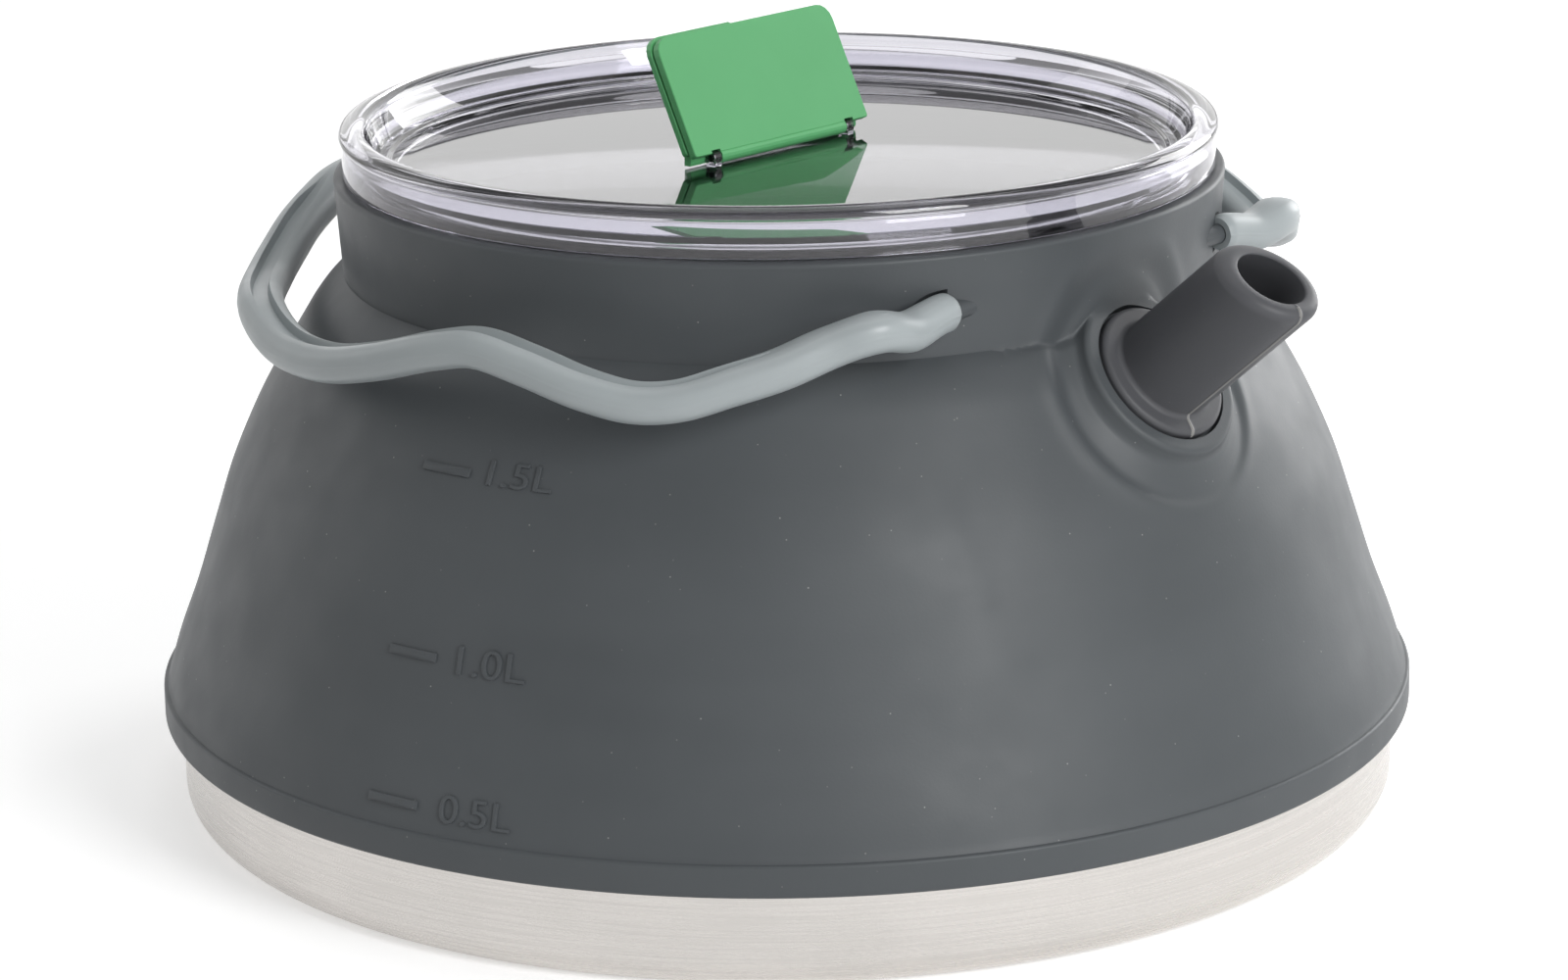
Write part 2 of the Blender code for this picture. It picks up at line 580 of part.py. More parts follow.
def build_spout(carrier):
    """The silicone spout: a tube with two flanges and a slanted, rounded mouth."""
    lip = (SPOUT_RADIUS - SPOUT_BORE_RADIUS) / 2
    flange_edge = SPOUT_FLANGE_RADIUS - SPOUT_FLANGE_ROUND
    inner_end = SEAT_BACK + GAP + SPOUT_INNER_FLANGE_THICKNESS
    outline = arc((SPOUT_RADIUS - lip, SPOUT_LENGTH - lip), lip, 90.0, 0.0)
    outline += [(SPOUT_RADIUS, SPOUT_ROOT_ROUND), (SPOUT_RADIUS + SPOUT_ROOT_ROUND, 0.0)]
    outline += [(flange_edge, 0.0), (SPOUT_FLANGE_RADIUS, -SPOUT_FLANGE_ROUND)]
    outline += [(SPOUT_FLANGE_RADIUS, -SPOUT_FLANGE_THICKNESS)]
    outline += [(SPOUT_HUB_RADIUS, -SPOUT_FLANGE_THICKNESS), (SPOUT_HUB_RADIUS, -SEAT_BACK - GAP)]
    outline += [(SPOUT_INNER_FLANGE_RADIUS, -SEAT_BACK - GAP)]
    outline += [(SPOUT_INNER_FLANGE_RADIUS, -inner_end)]
    outline += [(SPOUT_BORE_RADIUS + SPOUT_INLET_FLARE, -inner_end)]
    outline += [(SPOUT_BORE_RADIUS, -inner_end + SPOUT_INLET_FLARE)]
    outline += arc((SPOUT_BORE_RADIUS + lip, SPOUT_LENGTH - lip), lip, 180.0, 90.0)[:-1]
    spout = add_part("spout_tube", profile_mesh("spout_tube", outline, True), SILICONE)
    turn(spout, SPOUT_STEPS)
    realise(spout)
    slant = math.tan(SPOUT_MOUTH_SLANT)
    for vertex in spout.data.vertices:
        if vertex.co.z > SPOUT_ROOT_ROUND:
            vertex.co.z += slant * vertex.co.x * vertex.co.z / SPOUT_LENGTH
    place_on_spout(spout)
    hang(spout, carrier)


def build_neck_ring(carrier, pin_holes):
    """The ring inside the neck, with its rib and a boss for each handle pin."""
    rib = RING_RADIUS + RING_RIB_REACH
    rib_top = RING_RIB_Z + RING_RIB_HEIGHT
    outline = [(RING_RADIUS, RING_TOP_Z), (RING_RADIUS, rib_top), (rib, rib_top)]
    outline += [(rib, RING_RIB_Z), (RING_RADIUS, RING_RIB_Z), (RING_RADIUS, RING_BOTTOM_Z)]
    outline += [(RING_BORE_RADIUS, RING_BOTTOM_Z), (RING_BORE_RADIUS, RING_TOP_Z)]
    ring = add_part("neck_ring", profile_mesh("neck_ring", outline, True), DARK_NYLON)
    turn(ring)
    reach = RING_RADIUS - INSET
    limit_outline = [(0.0, NECK_TOP_Z), (reach, NECK_TOP_Z), (reach, CREASE_Z), (0.0, CREASE_Z)]
    limit = add_tool("boss_limit", profile_mesh("boss_limit", limit_outline, False))
    turn(limit)
    for side, label in ((1, "left"), (-1, "right")):
        boss = add_tool("pin_boss_" + label,
                        rod_mesh("pin_boss", PIN_HOLE_RADIUS + BOSS_WALL, BOSS_LENGTH))
        boss.location = (PIVOT_X, side * (BOSS_INNER_Y + BOSS_LENGTH / 2), PIVOT_Z)
        combine(boss, 'INTERSECT', limit)
        combine(ring, 'UNION', boss)
    combine(ring, 'DIFFERENCE', *pin_holes)
    realise(ring)
    hang(ring, carrier)


def build_pins(carrier):
    """The two fixed pins that the handle turns on."""
    length = PIN_OUTER_Y - PIN_INNER_Y
    for side, label in ((1, "left"), (-1, "right")):
        name = "pivot_pin_" + label
        pin = add_part(name, rod_mesh(name, PIN_RADIUS, length), DARK_STEEL)
        pin.location = (PIVOT_X, side * (PIN_INNER_Y + PIN_OUTER_Y) / 2, PIVOT_Z)
        realise(pin)
        hang(pin, carrier)


def handle_route():
    """Points along the bail's centreline, from its knuckle to the middle of its back."""
    points = [Vector((PIVOT_X, KNUCKLE_END_Y, PIVOT_Z))]
    points.append(Vector((PIVOT_X, KNUCKLE_END_Y + KNUCKLE_LENGTH, PIVOT_Z)))
    for angle, out, down in HANDLE_ROUTE_SHARES:
        turned = math.radians(angle)
        radius = HANDLE_RADIUS * out
        points.append(Vector((radius * math.cos(turned), radius * math.sin(turned),
                              PIVOT_Z - HANDLE_DIP * down)))
    return points


def recess_share(angle):
    """How much of its full width and depth the channel has at an angle from the spout."""
    opening = ease((angle - RECESS_START_ANGLE) / RECESS_FADE_ANGLE)
    closing = ease((RECESS_END_ANGLE - angle) / RECESS_FADE_ANGLE)
    return min(opening, closing)


def handle_section(half_width, half_height, power, recess):
    """The bail's rounded section as (out, up) points, with the channel in its top."""
    def point(angle):
        across, up = math.cos(angle), math.sin(angle)
        return (half_width * math.copysign(abs(across) ** (2 / power), across),
                half_height * math.copysign(abs(up) ** (2 / power), up))

    def top(out, depth):
        return (out, half_height * (1 - abs(out / half_width) ** power) ** (1 / power) - depth)

    edge = RECESS_WIDTH / 2 * (1 + 2 * recess) / 3
    floor = RECESS_FLOOR_WIDTH / 2 * (1 + 2 * recess) / 3 * (1 + recess) / 2
    depth = RECESS_DEPTH * recess
    sides = [point(math.radians(angle)) for angle in SECTION_ANGLES]
    channel = [top(edge, 0.0), top(floor, depth), top(-floor, depth), top(-edge, 0.0)]
    return sides[:3] + channel + sides[3:]


def build_handle(carrier, pin_holes):
    """The bail, lofted through its sections on one side and mirrored to the other."""
    points = handle_route()
    run = [0.0]
    for before, after in zip(points, points[1:]):
        run.append(run[-1] + (after - before).length)
    bail = np.linspace(KNUCKLE_LENGTH, run[-1], HANDLE_STATIONS)
    shape = bmesh.new()
    rings = []
    for place in [0.0, KNUCKLE_DOME] + list(bail):
        centre = Vector(along_curve(run, points, place))
        step = KNUCKLE_DOME / 2
        ahead = Vector(along_curve(run, points, min(place + step, run[-1])))
        behind = Vector(along_curve(run, points, max(place - step, 0.0)))
        along = (ahead - behind).normalized()
        out = along.cross(Vector((0.0, 0.0, 1.0))).normalized()
        up = out.cross(along)
        widening = ease((place - KNUCKLE_LENGTH) / HANDLE_TAPER)
        knuckle = KNUCKLE_RADIUS if place else KNUCKLE_END_RADIUS
        half_width = knuckle + (HANDLE_WIDTH / 2 - knuckle) * widening
        half_height = knuckle + (HANDLE_HEIGHT / 2 - knuckle) * widening
        power = 2 + (HANDLE_SQUARENESS - 2) * widening
        recess = recess_share(math.atan2(centre.y, centre.x))
        section = handle_section(half_width, half_height, power, recess)
        rings.append([shape.verts.new(centre + out * a + up * b) for a, b in section])
    for vertex in rings[-1]:
        vertex.co.y = 0.0
    count = len(rings[0])
    for near, far in zip(rings, rings[1:]):
        for i in range(count):
            j = (i + 1) % count
            shape.faces.new((near[i], far[i], far[j], near[j]))
    shape.faces.new(rings[0])
    mesh = bpy.data.meshes.new("handle_bail")
    shape.to_mesh(mesh)
    shape.free()
    handle = add_part("handle_bail", mesh, GREY_NYLON)
    mirror = handle.modifiers.new("Other side", 'MIRROR')
    mirror.use_axis = (False, True, False)
    mirror.merge_threshold = MERGE
    combine(handle, 'DIFFERENCE', *pin_holes)
    realise(handle)
    hang(handle, carrier)


def build_lid(carrier):
    """The clear lid: a sunk floor, a rim with a bead, a plug, and lugs for the tab's pin."""
    bead_middle = LID_BEAD_RADIUS - LID_BEAD_WIDTH / 2
    bead_height = LID_TOP_Z - LID_BEAD_UNDER_Z
    plug = NECK_BORE_RADIUS - GAP
    plug_bore = plug - LID_PLUG_WALL
    seat = NECK_TOP_Z + GAP
    underside = LID_FLOOR_TOP_Z - LID_FLOOR_THICKNESS
    plug_end = underside - LID_PLUG_DEPTH
    ledge = LID_FLOOR_TOP_Z + LID_LEDGE_HEIGHT
    ledge_radius = LID_FLOOR_RADIUS + LID_LEDGE_HEIGHT / 2
    outline = [(0.0, LID_FLOOR_TOP_Z), (LID_FLOOR_RADIUS, LID_FLOOR_TOP_Z)]
    outline += [(ledge_radius, ledge), (ledge_radius + LID_LEDGE_WIDTH, ledge)]
    outline += [(bead_middle + LID_BEAD_WIDTH / 2 * across, LID_BEAD_UNDER_Z + bead_height * up)
                for across, up in arc((0.0, 0.0), 1.0, 180.0, 0.0, 4)]
    outline += [(LID_SEAT_RADIUS, LID_BEAD_UNDER_Z), (LID_SEAT_RADIUS, seat), (plug, seat)]
    outline += [(plug, plug_end + LID_PLUG_ROUND), (plug - LID_PLUG_ROUND, plug_end)]
    outline += [(plug_bore, plug_end), (plug_bore, underside), (0.0, underside)]
    lid = add_part("lid", profile_mesh("lid", outline, False), SMOKE_CLEAR)
    turn(lid)
    bore = add_tool("lug_bore", rod_mesh("lug_bore", TAB_PIN_RADIUS + TAB_PIN_GAP,
                                         TAB_PIN_LENGTH + OVERRUN))
    bore.location = TAB_AXIS
    for side, label in ((1, "left"), (-1, "right")):
        ear = add_tool("lug_ear_" + label, rod_mesh("lug_ear", TAB_BARREL_RADIUS, LUG_THICKNESS))
        ear.location = TAB_AXIS + Vector((0.0, side * LUG_Y, 0.0))
        half = LUG_THICKNESS / 2
        low = (-TAB_BARREL_RADIUS, -half, -TAB_HINGE_HEIGHT - LUG_ROOT)
        post = add_tool("lug_post_" + label,
                        box_mesh("lug_post", low, (TAB_BARREL_RADIUS, half, 0.0)))
        post.location = ear.location
        combine(lid, 'UNION', post, ear)
    combine(lid, 'DIFFERENCE', bore)
    realise(lid)
    hang(lid, carrier)


def place_on_tab(item, forward):
    """Stands an item on the tab's lean: its X is the kettle's Y, and its Y runs up the lean."""
    across = Vector((0.0, 1.0, 0.0))
    turned = Matrix((across, TAB_UP, TAB_NORMAL)).transposed()
    item.matrix_world = Matrix.Translation(TAB_AXIS + TAB_NORMAL * forward) @ turned.to_4x4()


def tab_outline(foot, top, step):
    """A tab plate from its foot to its top, with rounded corners and a step in its top edge."""
    side = TAB_WIDTH / 2
    low, high = TAB_FOOT_CORNER, TAB_CORNER
    outline = arc((side - low, foot + low), low, -90.0, 0.0, 2)
    outline += arc((side - high, top - high), high, 0.0, 90.0, 4)
    if step:
        outline += [(TAB_BACK_STEP_Y + TAB_BACK_STEP_RUN, top), (TAB_BACK_STEP_Y, top + step)]
    outline += arc((high - side, top + step - high), high, 90.0, 180.0, 4)
    outline += arc((low - side, foot + low), low, 180.0, 270.0, 2)
    return outline


def bevel_edges(item):
    """Takes the sharp edges off a plate."""
    bevel = item.modifiers.new("Edges", 'BEVEL')
    bevel.width = TAB_EDGE
    bevel.segments = 1
    bevel.limit_method = 'ANGLE'
    bevel.angle_limit = SMOOTH_ANGLE * 2


def build_tab(carrier):
    """The lid's tab: a front plate on a hinge barrel, a back layer with its heel, and the pin."""
    plate = add_part("tab_plate",
                     plate_mesh("tab_plate", tab_outline(TAB_FOOT, TAB_REACH, 0.0),
                                TAB_PLATE_THICKNESS), GREEN)
    place_on_tab(plate, TAB_FRONT - TAB_PLATE_THICKNESS / 2)
    bevel_edges(plate)
    barrel = add_tool("tab_barrel", rod_mesh("tab_barrel", TAB_BARREL_RADIUS, TAB_BARREL_LENGTH))
    barrel.location = TAB_AXIS
    combine(plate, 'UNION', barrel)
    for side, label in ((1, "left"), (-1, "right")):
        room = add_tool("lug_room_" + label, rod_mesh("lug_room", TAB_BARREL_RADIUS + GAP,
                                                      LUG_THICKNESS + 2 * GAP))
        room.location = TAB_AXIS + Vector((0.0, side * LUG_Y, 0.0))
        combine(plate, 'DIFFERENCE', room)
    bore = add_tool("barrel_bore", rod_mesh("barrel_bore", TAB_PIN_RADIUS + TAB_PIN_GAP,
                                            TAB_BARREL_LENGTH + OVERRUN))
    bore.location = TAB_AXIS
    combine(plate, 'DIFFERENCE', bore)

    front = TAB_FRONT - TAB_PLATE_THICKNESS - GAP
    rear = front - TAB_BACK_THICKNESS
    back = add_part("tab_back",
                    plate_mesh("tab_back", tab_outline(TAB_BACK_FOOT, TAB_REACH, TAB_BACK_STEP),
                               TAB_BACK_THICKNESS), GREEN)
    place_on_tab(back, (front + rear) / 2)
    bevel_edges(back)
    # The heel's section: square to the lean, then along it. Its tip clears the lid's floor
    tip = rear - HEEL_REACH
    clear = GAP - TAB_HINGE_HEIGHT
    tip_up = (clear - tip * math.cos(TAB_LEAN)) / math.sin(TAB_LEAN)
    sole_up = (clear - rear * math.cos(TAB_LEAN)) / math.sin(TAB_LEAN)
    room = TAB_BARREL_RADIUS + GAP
    section = [(front - INSET, TAB_BACK_FOOT + HEEL_HEIGHT), (front - INSET, TAB_BACK_FOOT)]
    section += [(-room, INSET), (rear, sole_up), (tip, tip_up), (rear, HEEL_HEIGHT)]
    heel = add_tool("tab_heel", plate_mesh("tab_heel", section, TAB_WIDTH - 2 * HEEL_SIDE))
    turned = Matrix((TAB_NORMAL, TAB_UP, Vector((0.0, -1.0, 0.0)))).transposed()
    heel.matrix_world = Matrix.Translation(TAB_AXIS) @ turned.to_4x4()
    combine(back, 'UNION', heel)

    pin = add_part("tab_pin", rod_mesh("tab_pin", TAB_PIN_RADIUS, TAB_PIN_LENGTH), STEEL)
    pin.location = TAB_AXIS
    for piece in (plate, back, pin):
        realise(piece)
        hang(piece, carrier)


def build():
    """Builds the kettle, body by body."""
    clear_scene()
    new_collection("collapsible_kettle")
    new_collection("cutters")
    neck = add_axis("collapse_slide", (0.0, 0.0, FOLD_HIGH_Z))
    handle_axis = add_axis("handle_axis", (PIVOT_X, 0.0, PIVOT_Z), neck)
    lid_seat = add_axis("lid_seat", (0.0, 0.0, NECK_TOP_Z), neck)
    tab_axis = add_axis("tab_axis", TAB_AXIS, lid_seat)
    hole_inner = BOSS_INNER_Y - OVERRUN
    neck_holes = [pin_hole_tool("neck_pin_hole_left", 1, hole_inner, KNUCKLE_END_Y + OVERRUN),
                  pin_hole_tool("neck_pin_hole_right", -1, hole_inner, KNUCKLE_END_Y + OVERRUN)]
    bore_end = PIN_OUTER_Y + GAP
    bores = [pin_hole_tool("handle_bore_left", 1, KNUCKLE_END_Y - OVERRUN, bore_end),
             pin_hole_tool("handle_bore_right", -1, KNUCKLE_END_Y - OVERRUN, bore_end)]
    build_pan()
    build_skirt()
    build_fold()
    build_shoulder(neck, neck_holes)
    build_spout(neck)
    build_neck_ring(neck, neck_holes)
    build_pins(neck)
    build_handle(handle_axis, bores)
    build_lid(lid_seat)
    build_tab(tab_axis)


build()
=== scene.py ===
"""Looks of the collapsible kettle: finishes, fine shapes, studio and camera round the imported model.

Lengths are in metres in the model's own frame: +Z up, the spout towards +X, and the centre of
the pan's flat underside at the origin. Sizes are written in millimetres times MM.
"""
import logging
import math
from dataclasses import dataclass
from enum import Enum
from typing import Callable, Sequence
import bmesh
import bpy
import numpy as np
from mathutils import Matrix, Vector


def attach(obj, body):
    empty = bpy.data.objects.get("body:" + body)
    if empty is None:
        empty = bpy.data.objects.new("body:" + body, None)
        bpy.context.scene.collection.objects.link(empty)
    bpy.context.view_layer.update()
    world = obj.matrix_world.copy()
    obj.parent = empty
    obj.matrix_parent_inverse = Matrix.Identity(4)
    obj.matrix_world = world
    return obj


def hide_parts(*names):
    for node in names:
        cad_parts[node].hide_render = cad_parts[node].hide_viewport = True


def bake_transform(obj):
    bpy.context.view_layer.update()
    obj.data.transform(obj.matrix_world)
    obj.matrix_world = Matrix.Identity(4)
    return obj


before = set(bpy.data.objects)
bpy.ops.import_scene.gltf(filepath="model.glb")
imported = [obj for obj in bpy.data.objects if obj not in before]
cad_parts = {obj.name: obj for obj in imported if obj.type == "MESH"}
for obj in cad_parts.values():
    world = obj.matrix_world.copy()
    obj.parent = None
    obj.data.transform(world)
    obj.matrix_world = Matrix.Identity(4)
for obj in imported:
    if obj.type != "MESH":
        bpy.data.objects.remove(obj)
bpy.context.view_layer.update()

logging.basicConfig(level=logging.INFO, format="%(message)s")
LOG = logging.getLogger("kettle")

MM = 0.001
SMOOTH_ANGLE = math.radians(34.0)
COLUMNS = 256       # facets round the kettle
ROD_STEPS = 40      # facets round a pin or a bore
PIVOT = (60.0 * MM, 89.0 * MM)      # the handle's pivot axis runs along Y at this X and Z

Point2 = tuple[float, float]
Point3 = tuple[float, float, float]
Item = bpy.types.Object
Mesh = bpy.types.Mesh
Node = bpy.types.Node
Socket = bpy.types.NodeSocket


# Curves and meshes

def mm(*points: Sequence[float]) -> tuple[tuple[float, ...], ...]:
    """Turns points written in millimetres into metres."""
    return tuple(tuple(value * MM for value in point) for point in points)


def arc(centre: Point2, radius: float, start: float, end: float, steps: int = 8) -> list[Point2]:
    """Points on an arc round (radius, height), from one angle to another in degrees, both included."""
    return [(centre[0] + radius * math.cos(a), centre[1] + radius * math.sin(a))
            for a in np.radians(np.linspace(start, end, steps + 1))]


def along_curve(knots: Sequence[float], values: np.ndarray, places: np.ndarray) -> np.ndarray:
    """Values at many places on a smooth curve through the values at the knots.

    Args:
        knots: Rising positions of the knots.
        values: One value, or one row of values, for each knot.
        places: Positions to read, held inside the knots' span.

    Returns:
        One value or row for each place.
    """
    x = np.asarray(knots, float)
    y = np.asarray(values, float)
    at = np.clip(np.asarray(places, float), x[0], x[-1])
    slopes = np.gradient(y, x, axis=0)
    i = np.clip(np.searchsorted(x, at) - 1, 0, len(x) - 2)
    width = x[i + 1] - x[i]
    t = (at - x[i]) / width
    if y.ndim > 1:
        width, t = width[:, None], t[:, None]
    near = y[i] * (1 + 2 * t) * (1 - t) ** 2 + width * slopes[i] * t * (1 - t) ** 2
    return near + y[i + 1] * t * t * (3 - 2 * t) + width * slopes[i + 1] * t * t * (t - 1)


def ease(t: np.ndarray) -> np.ndarray:
    """Rises smoothly from 0 to 1."""
    held = np.clip(t, 0.0, 1.0)
    return held * held * (3 - 2 * held)


def smooth_max(a: np.ndarray, b: np.ndarray, fillet: float) -> np.ndarray:
    """The larger of two heights, blended where they differ by less than the fillet."""
    share = np.maximum(fillet - np.abs(a - b), 0.0) / fillet
    return np.maximum(a, b) + share * share * fillet / 4


def ring(radius: float | np.ndarray, height: float, turns: np.ndarray) -> np.ndarray:
    """Points round the Z axis at some angles in radians, as (x, y, z) rows."""
    return np.stack([radius * np.cos(turns), radius * np.sin(turns),
                     np.broadcast_to(height, turns.shape)], axis=1)


class Sheet:
    """Vertices and faces of a mesh while it is being put together."""

    def __init__(self) -> None:
        """Starts empty."""
        self.vertices: list[Sequence[float]] = []
        self.faces: list[Sequence[int]] = []

    def add_row(self, points: np.ndarray) -> list[int]:
        """Adds points, given as (x, y, z) rows, and returns the numbers of the new vertices."""
        self.vertices.extend(points.tolist())
        return list(range(len(self.vertices) - len(points), len(self.vertices)))

    def add_rings(self, outline: Sequence[Point2]) -> list[list[int]]:
        """Adds a ring of vertices round the Z axis for each (radius, height) of an outline."""
        turns = np.linspace(0.0, math.tau, COLUMNS, endpoint=False)
        return [self.add_row(ring(radius, height, turns)) for radius, height in outline]

    def bridge(self, near: Sequence[int], far: Sequence[int], skip: Sequence[int] = ()) -> None:
        """Joins two rings of vertices with quads.

        Args:
            near: Vertex numbers of the first ring.
            far: Vertex numbers of the second ring, as many.
            skip: The columns whose quads are left out.
        """
        for i in range(len(near)):
            if i not in skip:
                j = (i + 1) % len(near)
                self.faces.append((near[i], far[i], far[j], near[j]))

    def loft(self, rings: list[list[int]], closed: bool = True) -> None:
        """Joins each ring of vertices to the next, and the last to the first if it is closed."""
        for near, far in zip(rings, rings[1:] + rings[:1] if closed else rings[1:]):
            self.bridge(near, far)

    def build(self, name: str, finish: "Finish") -> Item:
        """Makes the object: points that meet are merged and the faces turned outwards.

        Args:
            name: The object's name.
            finish: What it is made of.

        Returns:
            The new object.
        """
        mesh = bpy.data.meshes.new(name)
        mesh.from_pydata(self.vertices, [], self.faces)
        shape = bmesh.new()
        shape.from_mesh(mesh)
        bmesh.ops.remove_doubles(shape, verts=shape.verts, dist=0.001 * MM)
        loose = [v for v in shape.verts if not v.link_faces]
        bmesh.ops.delete(shape, geom=loose, context='VERTS')
        bmesh.ops.recalc_face_normals(shape, faces=shape.faces)
        shape.to_mesh(mesh)
        shape.free()
        return add_object(name, mesh, finish)


def link(item: Item) -> None:
    """Puts an object into the scene."""
    bpy.context.scene.collection.objects.link(item)


def shade(item: Item) -> None:
    """Shades an object smooth, apart from its sharp edges."""
    item.data.shade_smooth()
    item.data.set_sharp_from_angle(angle=SMOOTH_ANGLE)


def report(item: Item) -> None:
    """Writes a finished piece to the log."""
    LOG.info("%s: %d faces", item.name, len(item.data.polygons))


def add_object(name: str, mesh: Mesh, finish: "Finish") -> Item:
    """Puts a mesh into the scene, smooth across its round faces and sharp at its edges.

    Args:
        name: The object's name.
        mesh: Its mesh.
        finish: What it is made of.

    Returns:
        The new object.
    """
    item = bpy.data.objects.new(name, mesh)
    link(item)
    mesh.materials.clear()
    mesh.materials.append(finish.material())
    shade(item)
    return item


def revolve(name: str, outline: Sequence[Point2], finish: "Finish") -> Item:
    """Turns a closed outline round the Z axis.

    Args:
        name: The object's name.
        outline: Points as (radius, height). A radius of 0 is on the axis.
        finish: What it is made of.

    Returns:
        The new object.
    """
    sheet = Sheet()
    sheet.loft(sheet.add_rings(outline))
    return sheet.build(name, finish)


def rod(name: str, radius: float, length: float, place: Point3, finish: "Finish") -> Item:
    """A rod along Y, to cut or to add.

    Args:
        name: The object's name.
        radius: Its radius.
        length: Its length.
        place: Where its middle is.
        finish: What it is made of.

    Returns:
        The new object.
    """
    shape = bmesh.new()
    bmesh.ops.create_cone(shape, cap_ends=True, segments=ROD_STEPS, radius1=radius, radius2=radius,
                          depth=length, matrix=Matrix.Rotation(math.pi / 2, 4, 'X'))
    mesh = bpy.data.meshes.new(name)
    shape.to_mesh(mesh)
    shape.free()
    item = add_object(name, mesh, finish)
    item.location = place
    return item


def pivot_rods(name: str, radius: float, length: float, out: float, finish: "Finish") -> list[Item]:
    """Two rods on the handle's pivot axis, with their middles as far out on either side."""
    return [rod(f"{name}_{side}", radius, length, (PIVOT[0], side * out, PIVOT[1]), finish)
            for side in (1, -1)]


def evaluated(item: Item) -> Mesh:
    """A new mesh of what an object shows, with its modifiers or its curve's settings applied."""
    bpy.context.view_layer.update()
    return bpy.data.meshes.new_from_object(
        item.evaluated_get(bpy.context.evaluated_depsgraph_get()))


class Join(Enum):
    """What is done with an object and a tool."""

    ADD = 'UNION'
    CUT = 'DIFFERENCE'


def combine(item: Item, join: Join, *tools: Item) -> None:
    """Joins or cuts an object with others, which are then removed.

    Args:
        item: The object that is changed.
        join: Whether the others are added or cut away.
        tools: The others.
    """
    for tool in tools:
        step = item.modifiers.new(tool.name, 'BOOLEAN')
        step.operation = join.value
        step.solver = 'EXACT'
        step.object = tool
    mesh = evaluated(item)
    item.modifiers.clear()
    item.data = mesh
    shade(item)
    for tool in tools:
        bpy.data.objects.remove(tool, do_unlink=True)


# Finishes

def linear(colour: str) -> tuple[float, float, float, float]:
    """Turns a written sRGB colour into linear light.

    Args:
        colour: A colour as #RRGGBB.

    Returns:
        Red, green, blue and an alpha of 1.
    """
    parts = [int(colour[i:i + 2], 16) / 255 for i in (1, 3, 5)]
    lit = [p / 12.92 if p <= 0.04045 else ((p + 0.055) / 1.055) ** 2.4 for p in parts]
    return (lit[0], lit[1], lit[2], 1.0)


def repeats(size_mm: float) -> float:
    """The scale at which a pattern's features are about this many millimetres across."""
    return 1.0 / (size_mm * MM)


def output(source: Node | Socket) -> Socket:
    """A node's first output, or the socket itself."""
    return source.outputs[0] if isinstance(source, Node) else source


def add_node(tree: bpy.types.NodeTree, kind: str, settings: dict | None = None,
             links: dict | None = None) -> Node:
    """Adds a node with its settings and links.

    Args:
        tree: The tree that gets the node.
        kind: The node's type.
        settings: Values by socket name or number, or by the node's own property.
        links: Outputs, or nodes for their first output, by the input's name or number.

    Returns:
        The new node.
    """
    node = tree.nodes.new(kind)
    for key, value in (settings or {}).items():
        if isinstance(key, int) or key in node.inputs:
            node.inputs[key].default_value = value
        else:
            setattr(node, key, value)
    for key, source in (links or {}).items():
        tree.links.new(output(source), node.inputs[key])
    return node


class Surface:
    """A material while it is dressed. Its patterns lie in the object's own space."""

    def __init__(self, name: str) -> None:
        """Makes the material with its main shader."""
        self.material = bpy.data.materials.new(name)
        self.material.use_nodes = True
        self.shader = self.material.node_tree.nodes["Principled BSDF"]
        self.place = self.add("ShaderNodeTexCoord").outputs["Object"]

    def add(self, kind: str, settings: dict | None = None, links: dict | None = None) -> Node:
        """Adds a node to the material."""
        return add_node(self.material.node_tree, kind, settings, links)

    def feed(self, name: str, source: Node | Socket) -> None:
        """Links a pattern to a socket of the main shader."""
        self.material.node_tree.links.new(output(source), self.shader.inputs[name])

    def clouds(self, size_mm: float, detail: float, stretch: Point3 = (1.0, 1.0, 1.0)) -> Node:
        """A cloudy pattern from 0 to 1.

        Args:
            size_mm: Size of its features.
            detail: How many finer layers it has.
            stretch: Shares of the scale along each axis. A small share draws it out.

        Returns:
            The pattern.
        """
        drawn = self.add("ShaderNodeMapping", {"Scale": stretch}, {"Vector": self.place})
        return self.add("ShaderNodeTexNoise", {"Scale": repeats(size_mm), "Detail": detail},
                        {"Vector": drawn})

    def paint(self, under: str, *layers: tuple[str, Node, Point2, float]) -> None:
        """Colours the surface.

        Args:
            under: The colour below.
            layers: For each colour laid over it: the colour, a pattern, the pattern's values
                where the colour starts and where most of it shows, and how much shows there.
        """
        settings, links = {6: linear(under)}, {}
        for colour, pattern, span, most in layers:
            share = self.add("ShaderNodeMapRange", {1: span[0], 2: span[1], 3: 0.0, 4: most},
                             {0: pattern})
            laid = self.add("ShaderNodeMix", {"data_type": 'RGBA', 7: linear(colour), **settings},
                            {0: share, **links})
            settings, links = {}, {6: laid.outputs[2]}
        self.feed("Base Color", laid.outputs[2])

    def emboss(self, *layers: tuple[Node, float]) -> None:
        """Gives the surface fine relief.

        Args:
            layers: Patterns and their depths in millimetres, each lying on the one before.
        """
        links = {}
        for pattern, depth_mm in layers:
            raised = self.add("ShaderNodeBump", {"Strength": 1.0, "Distance": depth_mm * MM},
                              {"Height": pattern, **links})
            links = {"Normal": raised}
        self.feed("Normal", raised)


